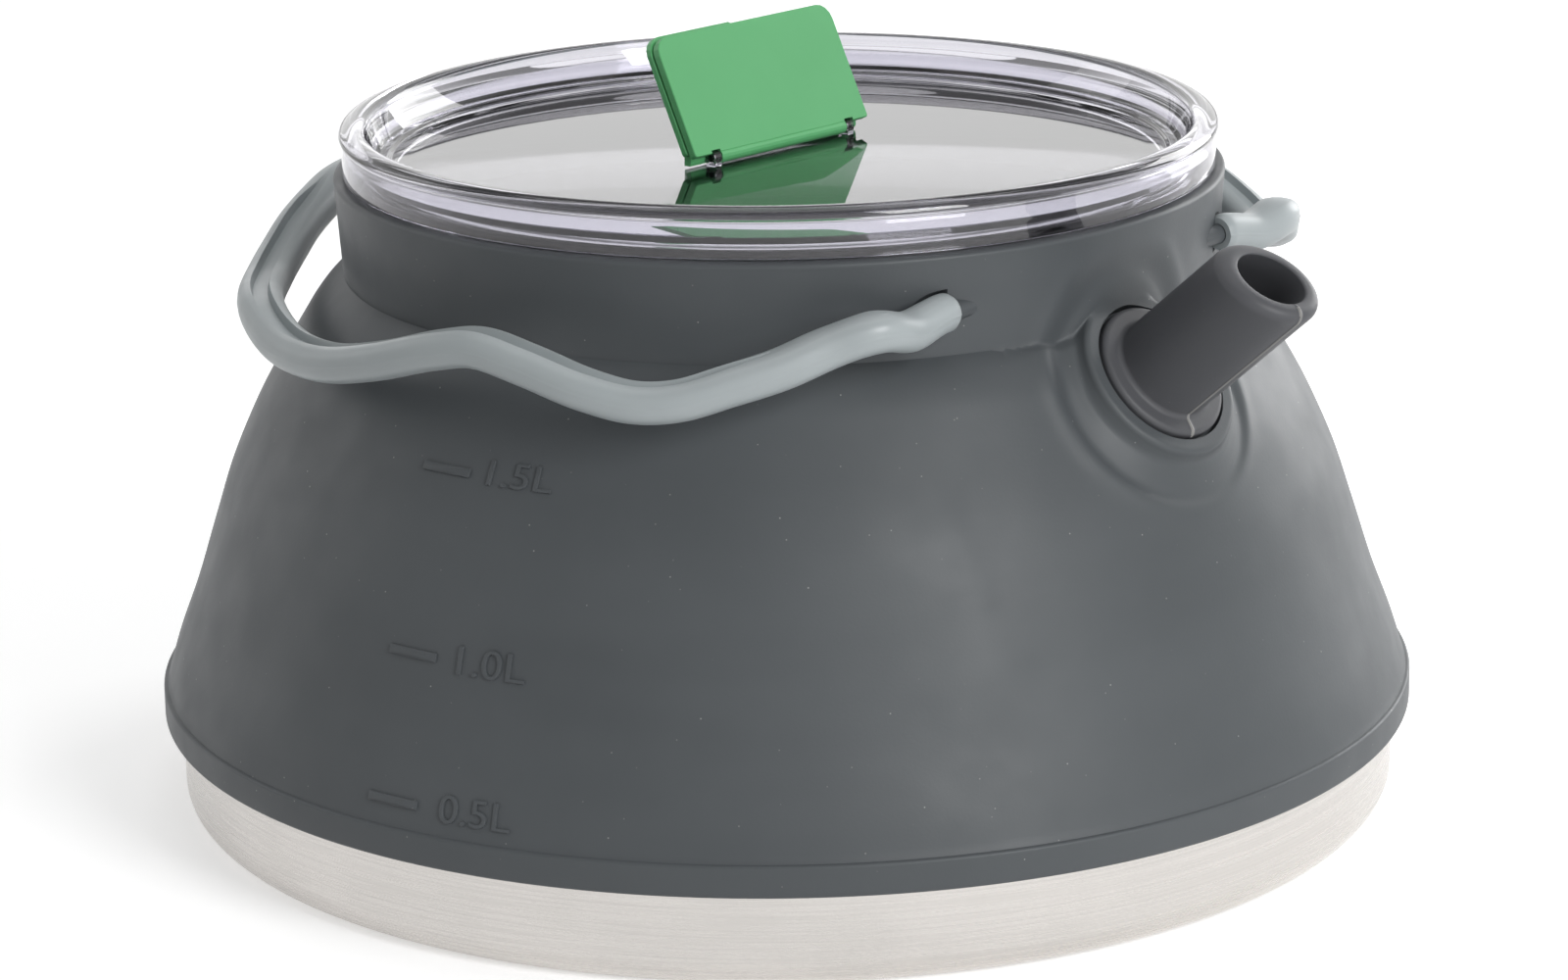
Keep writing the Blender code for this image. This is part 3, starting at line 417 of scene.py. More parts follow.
@dataclass(frozen=True)
class Finish:
    """What a piece is made of: its name, colour and gloss."""

    name: str
    colour: str
    roughness: float

    def material(self) -> bpy.types.Material:
        """The finish as a material, made once.

        Returns:
            The material.
        """
        found = bpy.data.materials.get(self.name)
        if found:
            return found
        skin = Surface(self.name)
        skin.shader.inputs["Base Color"].default_value = linear(self.colour)
        skin.shader.inputs["Roughness"].default_value = self.roughness
        self.dress(skin)
        LOG.info("finish %s", self.name)
        return skin.material

    def dress(self, skin: Surface) -> None:
        """Adds what the making leaves on the surface. Each kind of finish has its own."""

    def uneven(self, skin: Surface, pattern: Node, less: float, more: float,
               span: Point2 = (0.3, 0.7)) -> None:
        """Varies the gloss by a pattern.

        Args:
            skin: The material.
            pattern: The pattern.
            less: How far the roughness falls.
            more: How far it rises.
            span: The pattern's values where it has fallen and risen.
        """
        low, high = self.roughness - less, self.roughness + more
        skin.feed("Roughness", skin.add("ShaderNodeMapRange", {1: span[0], 2: span[1], 3: low,
                                                               4: high}, {0: pattern}))


@dataclass(frozen=True)
class MouldedSilicone(Finish):
    """Compression-moulded silicone: matte, faintly mottled, and it holds dust."""

    dust: float
    mottle: str

    def dress(self, skin: Surface) -> None:
        """Adds clouds and bands of bloom, dust specks and the tool's fine grain.

        Args:
            skin: The material.
        """
        # Dust: a speck in the middle of some of the cells, each cell about 2 mm across.
        cells = skin.add("ShaderNodeTexVoronoi", {"Scale": repeats(1.9)}, {"Vector": skin.place})
        specks = skin.add("ShaderNodeMapRange", {1: 0.035, 2: 0.075, 3: 1.0, 4: 0.0}, {0: cells})
        pick = skin.add("ShaderNodeSeparateColor", {}, {0: cells.outputs["Color"]})
        chosen = skin.add("ShaderNodeMapRange", {1: 0.62, 2: 0.92, 3: 0.0, 4: 0.55 * self.dust},
                          {0: pick})
        dust = skin.add("ShaderNodeMath", {"operation": 'MULTIPLY'}, {0: specks, 1: chosen})
        skin.paint(self.colour, (self.mottle, skin.clouds(34.0, 4.0), (0.35, 0.75), 0.34),
                   (self.mottle, skin.clouds(15.0, 2.0, (0.12, 0.12, 1.0)), (0.4, 0.75), 0.3),
                   ("#B9BAB6", dust, (0.0, 1.0), 1.0))
        self.uneven(skin, skin.clouds(9.0, 3.0), 0.04, 0.05)
        # The tool's real grain, about 0.05 mm, is too fine to show and is drawn coarser.
        skin.emboss((skin.clouds(26.0, 1.0), 0.22), (skin.clouds(0.45, 2.0), 0.012))
        skin.shader.inputs["IOR"].default_value = 1.41


@dataclass(frozen=True)
class SpunSteel(Finish):
    """Deep-drawn stainless steel, satin from the polishing wheel that ran round it."""

    streak: str

    def dress(self, skin: Surface) -> None:
        """Adds the fine marks that run round the pan, and a few soft smudges.

        Args:
            skin: The material.
        """
        flat = skin.add("ShaderNodeVectorMath", {"operation": 'MULTIPLY', 1: (1, 1, 0)},
                        {0: skin.place})
        out = skin.add("ShaderNodeVectorMath", {"operation": 'LENGTH'}, {0: flat})
        parts = skin.add("ShaderNodeSeparateXYZ", {}, {0: skin.place})
        slow = skin.add("ShaderNodeMath", {"operation": 'MULTIPLY', 1: 0.02}, {0: parts})
        spun = skin.add("ShaderNodeCombineXYZ", {}, {0: out.outputs["Value"], 1: parts.outputs[2],
                                                     2: slow})
        # The wheel's real marks, about 0.05 mm apart, are too fine to show and are drawn coarser.
        marks = skin.add("ShaderNodeTexNoise", {"Scale": repeats(0.35), "Detail": 4.0},
                         {"Vector": spun})
        skin.paint(self.colour, (self.streak, marks, (0.4, 0.75), 0.5),
                   (self.streak, skin.clouds(22.0, 3.0), (0.45, 0.8), 0.4))
        self.uneven(skin, marks, 0.05, 0.07)
        skin.emboss((marks, 0.004))
        skin.feed("Tangent", skin.add("ShaderNodeTangent", {"direction_type": 'RADIAL',
                                                            "axis": 'Z'}))
        skin.shader.inputs["Metallic"].default_value = 1.0
        skin.shader.inputs["Anisotropic"].default_value = 0.4


@dataclass(frozen=True)
class BlackenedSteel(Finish):
    """Turned steel wire with a black oxide skin, worn a little brighter in patches; its dark colour
    also stands in for shade round the pins.
    """

    worn: str

    def dress(self, skin: Surface) -> None:
        """Adds bright worn patches and fine turning marks.

        Args:
            skin: The material.
        """
        skin.paint(self.colour, (self.worn, skin.clouds(1.8, 4.0), (0.5, 0.75), 0.7))
        # Real turning marks, about 0.05 mm apart, are too fine to show and are drawn coarser.
        skin.emboss((skin.clouds(0.2, 2.0, (1.0, 4.0, 1.0)), 0.004))
        skin.shader.inputs["Metallic"].default_value = 1.0


@dataclass(frozen=True)
class ClearPlastic(Finish):
    """Injection-moulded clear styrene copolymer with a smoke tint and faint handling marks."""

    index: float

    def dress(self, skin: Surface) -> None:
        """Adds hairline scratches and the slight waves of the moulding.

        Args:
            skin: The material.
        """
        skin.shader.inputs["Transmission Weight"].default_value = 1.0
        skin.shader.inputs["IOR"].default_value = self.index
        # Real hairlines, about 0.02 mm wide, are too fine to show and are drawn coarser.
        self.uneven(skin, skin.clouds(0.6, 3.0, (1.0, 0.05, 1.0)), 0.0, 0.02, (0.55, 0.8))
        skin.emboss((skin.clouds(30.0, 1.0), 0.006))


@dataclass(frozen=True)
class MouldedPlastic(Finish):
    """Injection-moulded plastic with the fine spark-eroded grain of its tool."""

    grain_mm: float
    grain_depth_mm: float
    shadow: str

    def dress(self, skin: Surface) -> None:
        """Adds slow flow shading, uneven gloss and the grain.

        Args:
            skin: The material.
        """
        skin.paint(self.colour, (self.shadow, skin.clouds(12.0, 3.0), (0.35, 0.75), 0.3))
        self.uneven(skin, skin.clouds(5.0, 3.0), 0.05, 0.05)
        # The real grain, about 0.03 mm, is too fine to show and is drawn coarser.
        skin.emboss((skin.clouds(self.grain_mm, 2.0), self.grain_depth_mm))


# Silicone pressed in a blasted tool: broad dull highlights, faint clouds, and dust that clings.
BODY_SILICONE = MouldedSilicone("moulded silicone, charcoal", "#494D50", 0.48, 1.0, "#5C6063")
# The same silicone from a smaller tool, handled less: cleaner and more even.
SPOUT_SILICONE = MouldedSilicone("moulded silicone, spout", "#4B4C4F", 0.5, 0.4, "#54555A")
# What is left where the tool's halves met, trimmed by hand: rough, and so paler.
FLASH_SILICONE = MouldedSilicone("moulded silicone, trimmed flash", "#858482", 0.6, 0.0, "#7A7978")
# Steel drawn over a punch and polished while it spins: highlights drawn out round the pan.
PAN_STEEL = SpunSteel("stainless steel, spun satin", "#D2CECA", 0.27, "#BFBCB8")
# Turned wire, oxidised black: dark, with a dull glint where the skin has worn. The dark colour is
# partly painted shade: it stands for the contact shade beside the handle's knuckles and the shadow line
# along the tab's foot.
PIN_STEEL_DARK_AS_SHADE = BlackenedSteel("steel, black oxide and painted shade", "#2B2C2E", 0.38, "#6B6C6E")
# Plastic from a polished tool: clear and glossy, with reflections that waver slightly.
LID_PLASTIC = ClearPlastic("clear plastic, smoke tint", "#D2D1D8", 0.02, 1.57)
# Plastic from a finely eroded tool: even colour under a soft sheen.
TAB_PLASTIC = MouldedPlastic("moulded plastic, green", "#58AB6D", 0.42, 0.35, 0.004, "#4DA162")
# Nylon from an eroded tool: a waxy sheen with slow shading where it flowed.
HANDLE_PLASTIC = MouldedPlastic("moulded nylon, grey", "#A3AAAC", 0.4, 0.3, 0.006, "#98A0A2")
# Nylon with short glass fibres: dull, and coarser than the plain one.
RING_PLASTIC = MouldedPlastic("glass-filled nylon, dark", "#3A3D40", 0.5, 0.5, 0.012, "#303336")


# Silicone body

@dataclass(frozen=True)
class BodyShape:
    """The silicone's outline: band, skirt, shoulder and neck."""

    foot_radius: float = 95.8 * MM
    band_radius: float = 96.5 * MM
    seam_z: float = 14.6 * MM
    band_top: float = 19.4 * MM
    band_round: float = 0.5 * MM
    crease_radius: float = 66.4 * MM
    crease_z: float = 82.1 * MM
    crease_fillet: float = 0.6 * MM
    neck_top: float = 97.1 * MM
    neck_radius: float = 67.4 * MM
    lip_round: float = 0.6 * MM
    bore: float = 64.4 * MM
    inner_crease: float = 79.8 * MM
    wall: float = 2.5 * MM
    fold_wall: float = 1.8 * MM
    fold_low: float = 34.0 * MM
    fold_high: float = 54.0 * MM
    fold_fade: float = 2.0 * MM
    # Shares of the height above the band, and of the way in from the foot to the crease.
    outline_shares: tuple[Point2, ...] = (
        (0.0, 0.0), (0.08, 0.052), (0.23, 0.172), (0.39, 0.282), (0.54, 0.39), (0.63, 0.474),
        (0.69, 0.536), (0.75, 0.607), (0.82, 0.696), (0.88, 0.774), (0.93, 0.842),
        (0.975, 0.922), (0.992, 0.962), (1.0, 1.0))
    # The groove that grips the pan's rim, and the slot in the neck for its ring.
    grip: tuple[Point2, ...] = mm((94.1, 14.6), (94.1, 17.7), (94.8, 17.7), (94.8, 19.1),
                                  (92.7, 19.1), (92.7, 15.0), (91.3, 15.0), (90.9, 15.4),
                                  (90.9, 22.0))
    ring_slot: tuple[Point2, ...] = mm((64.4, 84.3), (65.2, 84.3), (65.2, 85.7), (64.4, 85.7),
                                       (64.4, 91.0))

    def radius(self, z: np.ndarray) -> np.ndarray:
        """Outer radius of the silicone above its band.

        Args:
            z: Heights.

        Returns:
            One radius for each height.
        """
        z = np.asarray(z, float)
        heights, drops = zip(*self.outline_shares)
        rise, drop = self.crease_z - self.band_top, self.foot_radius - self.crease_radius
        share = (z - self.band_top) / rise
        body = self.foot_radius - drop * along_curve(heights, np.array(drops), share)
        end = (drops[-1] - drops[-2]) / (heights[-1] - heights[-2])
        body = np.where(share > 1, self.crease_radius - drop * end * (share - 1), body)
        lean = (self.neck_radius - self.crease_radius) / (self.neck_top - self.crease_z)
        neck = self.crease_radius + lean * (z - self.crease_z)
        return smooth_max(body, neck, self.crease_fillet)

    def slope(self, z: np.ndarray) -> np.ndarray:
        """How fast the outer radius changes with height, one value for each height."""
        step = 0.5 * MM
        return (self.radius(z + step) - self.radius(z - step)) / (2 * step)

    def inner_radius(self, z: np.ndarray) -> np.ndarray:
        """Inner radius of the silicone above the pan's rim.

        Args:
            z: Heights.

        Returns:
            One radius for each height.
        """
        z = np.asarray(z, float)
        low = np.minimum(z, self.inner_crease)
        thin = (ease((low - self.fold_low) / self.fold_fade)
                * ease((self.fold_high - low) / self.fold_fade))
        wall = self.wall - (self.wall - self.fold_wall) * thin
        shoulder = self.radius(low) - wall * np.hypot(1.0, self.slope(low))
        return np.where(z > self.inner_crease, self.bore, np.maximum(shoulder, self.bore))

    def bend(self, item: Item) -> None:
        """Bakes a piece's placement into its mesh."""
        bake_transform(item)


@dataclass(frozen=True)
class SpoutPlace:
    """The spout's axis and its seat in the body."""

    face: Point3 = (74.2 * MM, 0.0, 76.8 * MM)
    lean: float = math.radians(49.3)
    pocket: float = 11.1 * MM
    pocket_depth: float = 2.4 * MM
    hole: float = 8.6 * MM
    hole_depth: float = 4.8 * MM
    relief: float = 10.8 * MM
    collar_step: float = 0.8 * MM
    collar_top: float = 13.4 * MM
    collar_round: float = 0.9 * MM
    collar_foot: float = 19.0 * MM
    collar_depth: float = 6.5 * MM
    moat_at: float = 16.2 * MM
    moat_width: float = 1.9 * MM
    moat_depth: float = 0.75 * MM
    ridge_at: float = 19.3 * MM
    ridge_width: float = 1.5 * MM
    ridge_height: float = 0.4 * MM
    fade: float = 4.0 * MM
    far: float = 60.0 * MM
    far_slope: float = 0.72
    search: Point2 = (-24.0 * MM, 16.0 * MM)
    halvings: int = 40
    # Shares of the collar's fall, and of the way out to its foot.
    flare_shares: tuple[Point2, ...] = (
        (0.0, 0.0), (0.2, 0.06), (0.42, 0.26), (0.65, 0.58), (1.0, 1.0))

    def axes(self) -> tuple[np.ndarray, np.ndarray, np.ndarray]:
        """The axis out of the body, the direction up across it, and +Y."""
        s, c = math.sin(self.lean), math.cos(self.lean)
        return np.array((s, 0.0, c)), np.array((-c, 0.0, s)), np.array((0.0, 1.0, 0.0))

    def points(self, out: np.ndarray, turn: np.ndarray, rise: np.ndarray) -> np.ndarray:
        """Points placed round the spout's axis.

        Args:
            out: Distances from the axis.
            turn: Angles round it, from straight up across it.
            rise: Heights along it above the flange's face.

        Returns:
            An array of (x, y, z) rows.
        """
        along, up, side = self.axes()
        across = np.cos(turn)[:, None] * up + np.sin(turn)[:, None] * side
        return (np.array(self.face) + np.asarray(rise)[:, None] * along
                + np.asarray(out)[:, None] * across)

    def polar(self, points: np.ndarray) -> tuple[np.ndarray, np.ndarray]:
        """Distance from the spout's axis, and the angle round it.

        Args:
            points: An array of (x, y, z) rows.

        Returns:
            The distances and the angles.
        """
        _, up, side = self.axes()
        away = points - np.array(self.face)
        return np.hypot(away @ up, away @ side), np.arctan2(away @ side, away @ up)

    def meet(self, radius: Callable[[np.ndarray], np.ndarray], out: np.ndarray,
             turn: np.ndarray) -> np.ndarray:
        """Height along the axis at which lines parallel to it meet a surface of revolution.

        Args:
            radius: The surface's radius at a height.
            out: Distances of the lines from the axis.
            turn: Their angles round it.

        Returns:
            One height for each line.
        """
        low, high = (np.full(len(out), end) for end in self.search)
        for _ in range(self.halvings):
            middle = (low + high) / 2
            p = self.points(out, turn, middle)
            outside = np.hypot(p[:, 0], p[:, 1]) > radius(p[:, 2])
            low, high = np.where(outside, low, middle), np.where(outside, middle, high)
        return (low + high) / 2

    def moat(self, out: np.ndarray, reach: np.ndarray) -> np.ndarray:
        """Relief round the collar's foot: a shallow moat, then a soft ridge.

        Args:
            out: Distances from the axis.
            reach: Distances at which the relief has died away.

        Returns:
            What it adds to the body's height, one value for each distance.
        """
        dip = self.moat_depth * np.exp(-((out - self.moat_at) / self.moat_width) ** 2)
        rise = self.ridge_height * np.exp(-((out - self.ridge_at) / self.ridge_width) ** 2)
        return (rise - dip) * ease((reach - out) / self.fade)

    def collar(self, out: np.ndarray) -> np.ndarray:
        """Height of the collar above the flange's face.

        Args:
            out: Distances from the axis.

        Returns:
            One height for each distance.
        """
        edge = self.collar_top - self.collar_round
        shoulder = self.collar_step + self.collar_round
        fall, flare = self.collar_depth - shoulder, self.collar_foot - self.collar_top
        down, wide = (np.array(v) for v in zip(*self.flare_shares))
        across = np.linspace(0.0, 1.0, 60)
        depth = along_curve(wide, down, across)
        inner = np.linspace(edge, self.collar_top, 24)[:-1]
        curve = -shoulder + np.sqrt(np.maximum(self.collar_round ** 2 - (inner - edge) ** 2, 0))
        xs = np.concatenate([[0.0], inner, self.collar_top + flare * across, [self.far]])
        ys = np.concatenate([[-self.collar_step], curve, -shoulder - fall * depth,
                             [-self.collar_depth - self.far_slope * (self.far - self.collar_foot)]])
        return np.interp(out, xs, ys)


@dataclass
class SiliconeBody:
    """The body: one moulding from the band on the pan to the lip of the neck."""

    shape: BodyShape
    spout: SpoutPlace
    window_columns: int = 15
    window_rows: int = 51
    window_top: float = 95.0 * MM
    window_bottom: float = 50.0 * MM
    inner_window_top: float = 84.1 * MM
    seat_fillet: float = 0.9 * MM
    # The rings round the seat settle to an oval, its radius and swing in millimetres, then to a circle.
    oval: Point2 = (18.5, 3.5)
    circle: float = 13.8 * MM
    # Radii of the rings over the collar's edge and down to its mouth, in millimetres.
    collar_rings: tuple[float, ...] = (13.7, 13.6, 13.5, 13.42, 13.37, 13.28, 13.15, 12.97, 12.75,
                                       12.5, 12.2, 11.8, 11.45, 11.27, 11.16, 11.1)
    # On the handle's axis: radius, start and end of the knuckle's seat, pin's collar and hole.
    pivot_steps: tuple[tuple[str, Join, float, float, float], ...] = (
        ("seat", Join.CUT, 3.2 * MM, 30.6 * MM, 38.6 * MM),
        ("collar", Join.ADD, 1.5 * MM, 26.3 * MM, 30.6 * MM),
        ("hole", Join.CUT, 1.25 * MM, 10.0 * MM, 35.0 * MM))

    def outline(self) -> tuple[list[Point2], list[int], list[int]]:
        """The closed outline, down its outer side and up its inner side.

        Returns:
            The points, then the numbers of those beside the spout outside and inside.
        """
        s = self.shape
        edge = s.band_radius - s.band_round
        points = [(s.bore + s.lip_round, s.neck_top)]
        points += arc((s.neck_radius - s.lip_round, s.neck_top - s.lip_round), s.lip_round,
                      90.0, 4.0, 6)

        def rows(heights: np.ndarray, radius: Callable[[np.ndarray], np.ndarray]) -> list[int]:
            """Adds the points of a surface at some heights, and returns their numbers."""
            points.extend(zip(radius(heights).tolist(), heights.tolist()))
            return list(range(len(points) - len(heights), len(points)))

        # Two rows on the neck, the window beside the spout, then the skirt down to the band.
        rows(np.array([96.2, 95.6]) * MM, s.radius)
        outside = rows(np.linspace(self.window_top, self.window_bottom, self.window_rows), s.radius)
        rows(np.linspace(self.window_bottom, 19.9 * MM, 34)[1:], s.radius)
        points.append((s.foot_radius + 0.02 * MM, 19.6 * MM))
        points.append((s.foot_radius + 0.08 * MM, 19.44 * MM))
        points += arc((edge, s.band_top - s.band_round), s.band_round, 90.0, 0.0)
        points += arc((edge, s.seam_z + s.band_round), s.band_round, 0.0, -90.0)
        points += s.grip
        rows(np.linspace(25.0 * MM, self.window_bottom, 28)[:-1], s.inner_radius)
        inside = rows(np.linspace(self.window_bottom, self.inner_window_top, self.window_rows),
                      s.inner_radius)
        points += s.ring_slot
        points.append((s.bore, s.neck_top - s.lip_round))
        points.append((s.bore + 0.2 * MM, s.neck_top - 0.2 * MM))
        return points, outside, inside[::-1]

    def rim(self, rows: list[list[int]]) -> list[int]:
        """Vertices round a window, from its top left.

        Args:
            rows: The rows of vertices beside the spout, from the top down.

        Returns:
            The numbers of the vertices round it.
        """
        columns = [c % COLUMNS for c in range(-self.window_columns, self.window_columns + 1)]
        round_it = [rows[0][c] for c in columns]
        round_it += [row[columns[-1]] for row in rows[1:]]
        round_it += [rows[-1][c] for c in columns[::-1][1:]]
        return round_it + [row[columns[0]] for row in rows[::-1][1:-1]]

    def seat_rings(self, outer: np.ndarray, inner: np.ndarray) -> list[np.ndarray]:
        """Rings of points from the window's rim over the collar, through the seat, to the inside.

        Args:
            outer: The rim of the outer window.
            inner: The rim of the inner window.

        Returns:
            The rings between the two rims.
        """
        seat, shape = self.spout, self.shape
        reach, turn = seat.polar(outer)
        oval = (self.oval[0] - self.oval[1] * np.cos(turn)) * MM
        rings = []

        def surface(out: np.ndarray) -> None:
            """Adds a ring on the body or on the collar, whichever stands higher there."""
            body = seat.meet(shape.radius, out, turn) + seat.moat(out, reach)
            rings.append(seat.points(out, turn, smooth_max(body, seat.collar(out),
                                                           self.seat_fillet)))

        for share in np.linspace(0.0, 1.0, 16)[1:]:
            surface(reach + (oval - reach) * share)
        for share in np.linspace(0.0, 1.0, 20)[1:]:
            surface(oval + (self.circle - oval) * share)
        for out in self.collar_rings:
            surface(np.full(len(turn), out * MM))
        back = seat.meet(shape.inner_radius, np.full(len(turn), seat.relief), turn)
        floor = np.maximum(-seat.hole_depth, back + 0.02 * MM)
        for out, rise in ((seat.pocket, -seat.pocket_depth), (seat.hole, -seat.pocket_depth),
                          (seat.hole, floor), (seat.relief, floor), (seat.relief, back)):
            rings.append(seat.points(np.full(len(turn), out), turn,
                                     np.broadcast_to(rise, turn.shape)))
        inner_reach, inner_turn = seat.polar(inner)
        swing = (inner_turn - turn + math.pi) % math.tau - math.pi
        for share in np.linspace(0.0, 1.0, 8)[1:-1]:
            out = seat.relief + (inner_reach - seat.relief) * share
            at = turn + swing * share
            rings.append(seat.points(out, at, seat.meet(shape.inner_radius, out, at)))
        return rings

    def build(self) -> None:
        """Makes the body and bakes its placement into its mesh."""
        points, *windows = self.outline()
        sheet = Sheet()
        rows = sheet.add_rings(points)
        beside_spout = [c % COLUMNS for c in range(-self.window_columns, self.window_columns)]
        for i in range(len(rows)):
            j = (i + 1) % len(rows)
            in_window = any(i in part and j in part for part in windows)
            sheet.bridge(rows[i], rows[j], beside_spout if in_window else ())
        outer, inner = (self.rim([rows[i] for i in part]) for part in windows)
        place = np.array(sheet.vertices)
        rings = [sheet.add_row(points) for points in self.seat_rings(place[outer], place[inner])]
        sheet.loft([outer, *rings, inner], closed=False)
        body = sheet.build("silicone_body", BODY_SILICONE)
        for name, join, radius, start, end in self.pivot_steps:
            combine(body, join, *pivot_rods(name, radius, end - start, (start + end) / 2,
                                            BODY_SILICONE))
        self.shape.bend(body)
        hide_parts("silicone_skirt", "silicone_fold", "silicone_shoulder")
        report(body)


@dataclass(frozen=True)
class Mark:
    """One fill mark, a bar and its number: angles in degrees, heights in millimetres."""

    words: str
    bar: Point2
    bar_z: float
    word_start: float
    word_end: float
    word_z: float
    word_height: float


@dataclass
class FillMarks:
    """The raised fill marks on the body's side, in the body's own silicone."""

    shape: BodyShape
    marks: tuple[Mark, ...] = (
        Mark("1.5L", (-88.2, -81.9), 66.9, -79.6, -71.8, 65.7, 3.7),
        Mark("1.0L", (-86.8, -81.3), 42.6, -78.9, -71.7, 40.9, 4.1),
        Mark("0.5L", (-86.0, -80.7), 22.9, -78.4, -71.4, 21.3, 4.0))
    above: float = 0.34 * MM
    sunk: float = 0.3 * MM
    soft_rim: float = 0.1 * MM
    bar_height: float = 1.3 * MM
    drawn_size: float = 5.6 * MM

    def lay(self, name: str, flat: Mesh, start: float, low: float) -> Item:
        """Wraps a flat relief onto the body.

        Args:
            name: The new object's name.
            flat: A mesh whose X runs to the right, Y up and Z out of the surface.
            start: Angle of its left side in degrees.
            low: Height of its lower edge.

        Returns:
            The relief on the body.
        """
        foot, slope = float(self.shape.radius(low)), float(self.shape.slope(low))
        tilt = math.hypot(1.0, slope)
        for vertex in flat.vertices:
            x, y, out = vertex.co
            height = low + y / tilt
            radius = float(self.shape.radius(height)) + out / tilt
            turn = math.radians(start) + x / foot
            height -= out * slope / tilt
            vertex.co = (radius * math.cos(turn), radius * math.sin(turn), height)
        return add_object(name, flat, BODY_SILICONE)

    def relief(self, curve: bpy.types.Curve) -> Mesh:
        """Gives a flat curve its thickness and its soft rim.

        Args:
            curve: Letters or a bar, drawn flat.

        Returns:
            The relief, still flat, with its foot sunk below the surface.
        """
        curve.fill_mode = 'BOTH'
        curve.extrude = (self.above + self.sunk) / 2 - self.soft_rim
        curve.bevel_depth = self.soft_rim
        curve.bevel_resolution = 1
        curve.offset = -self.soft_rim
        item = bpy.data.objects.new("relief", curve)
        link(item)
        mesh = evaluated(item)
        bpy.data.objects.remove(item, do_unlink=True)
        shape = bmesh.new()
        shape.from_mesh(mesh)
        bmesh.ops.remove_doubles(shape, verts=shape.verts, dist=0.002 * MM)
        bmesh.ops.translate(shape, verts=shape.verts, vec=(0, 0, (self.above - self.sunk) / 2))
        shape.to_mesh(mesh)
        shape.free()
        return mesh

    def letters(self, mark: Mark) -> Item:
        """The mark's number.

        Args:
            mark: The mark.

        Returns:
            The raised number.
        """
        curve = bpy.data.curves.new("words", 'FONT')
        curve.body = mark.words
        curve.size = self.drawn_size
        mesh = self.relief(curve)
        co = np.array([v.co for v in mesh.vertices])
        low, high = co.min(0), co.max(0)
        middle = float(self.shape.radius((mark.word_z + 2) * MM))
        width = math.radians(mark.word_end - mark.word_start) * middle
        across, up = width / (high[0] - low[0]), mark.word_height * MM / (high[1] - low[1])
        for vertex in mesh.vertices:
            vertex.co.x = (vertex.co.x - low[0]) * across
            vertex.co.y = (vertex.co.y - low[1]) * up
        return self.lay("letters", mesh, mark.word_start, mark.word_z * MM)

    def bar(self, mark: Mark) -> Item:
        """The mark's bar.

        Args:
            mark: The mark.

        Returns:
            The raised bar.
        """
        radius = float(self.shape.radius(mark.bar_z * MM))
        width = math.radians(mark.bar[1] - mark.bar[0]) * radius
        curve = bpy.data.curves.new("bar", 'CURVE')
        curve.dimensions = '2D'
        spline = curve.splines.new('POLY')
        across = np.linspace(0.0, width, 12)
        outline = [(x, 0.0) for x in across] + [(x, self.bar_height) for x in across[::-1]]
        spline.points.add(len(outline) - 1)
        for point, (x, y) in zip(spline.points, outline):
            point.co = (x, y, 0.0, 1.0)
        spline.use_cyclic_u = True
        low = mark.bar_z * MM - self.bar_height / 2
        return self.lay("bar", self.relief(curve), mark.bar[0], low)

    def build(self) -> None:
        """Makes the three marks as one piece."""
        parts = [item for mark in self.marks for item in (self.bar(mark), self.letters(mark))]
        shape = bmesh.new()
        for part in parts:
            shape.from_mesh(part.data)
            bpy.data.objects.remove(part, do_unlink=True)
        bmesh.ops.recalc_face_normals(shape, faces=shape.faces)
        mesh = bpy.data.meshes.new("fill_marks")
        shape.to_mesh(mesh)
        shape.free()
        marks = add_object("fill_marks", mesh, BODY_SILICONE)
        self.shape.bend(marks)
        report(marks)


# Pan, spout and handle

@dataclass
class Pan:
    """The drawn steel pan with its rounded bottom corner and turned-out rim."""

    radius: float = 93.8 * MM
    wall: float = 0.8 * MM
    floor: float = 1.2 * MM
    corner: float = 4.2 * MM
    rim_top: float = 18.8 * MM
    rim_reach: float = 0.7 * MM
    groove: float = 52.0 * MM
    groove_width: float = 3.0 * MM
    groove_depth: float = 0.4 * MM

    def build(self) -> None:
        """Makes the pan."""
        bore, rim = self.radius - self.wall, self.radius + self.rim_reach
        inner = self.corner - self.floor
        points = [(0.0, self.floor), (bore - inner - 8 * MM, self.floor)]
        points += arc((bore - inner, self.floor + inner), inner, -90.0, 0.0, 14)
        points += [(bore, 12 * MM), (bore, self.rim_top), (rim, self.rim_top)]
        points += [(rim, self.rim_top - self.wall), (self.radius, self.rim_top - self.wall)]
        points += [(self.radius, 14.0 * MM), (self.radius, 10.0 * MM)]
        points += arc((self.radius - self.corner, self.corner), self.corner, 0.0, -90.0, 18)
        for share in np.linspace(-1.0, 1.0, 13):
            height = self.groove_depth * (1 + math.cos(math.pi * share)) / 2
            points.append((self.groove - self.groove_width / 2 * share, height))
        points.append((0.0, 0.0))
        pan = revolve("pan", points, PAN_STEEL)
        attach(pan, "base")
        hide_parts("base_pan")
        report(pan)


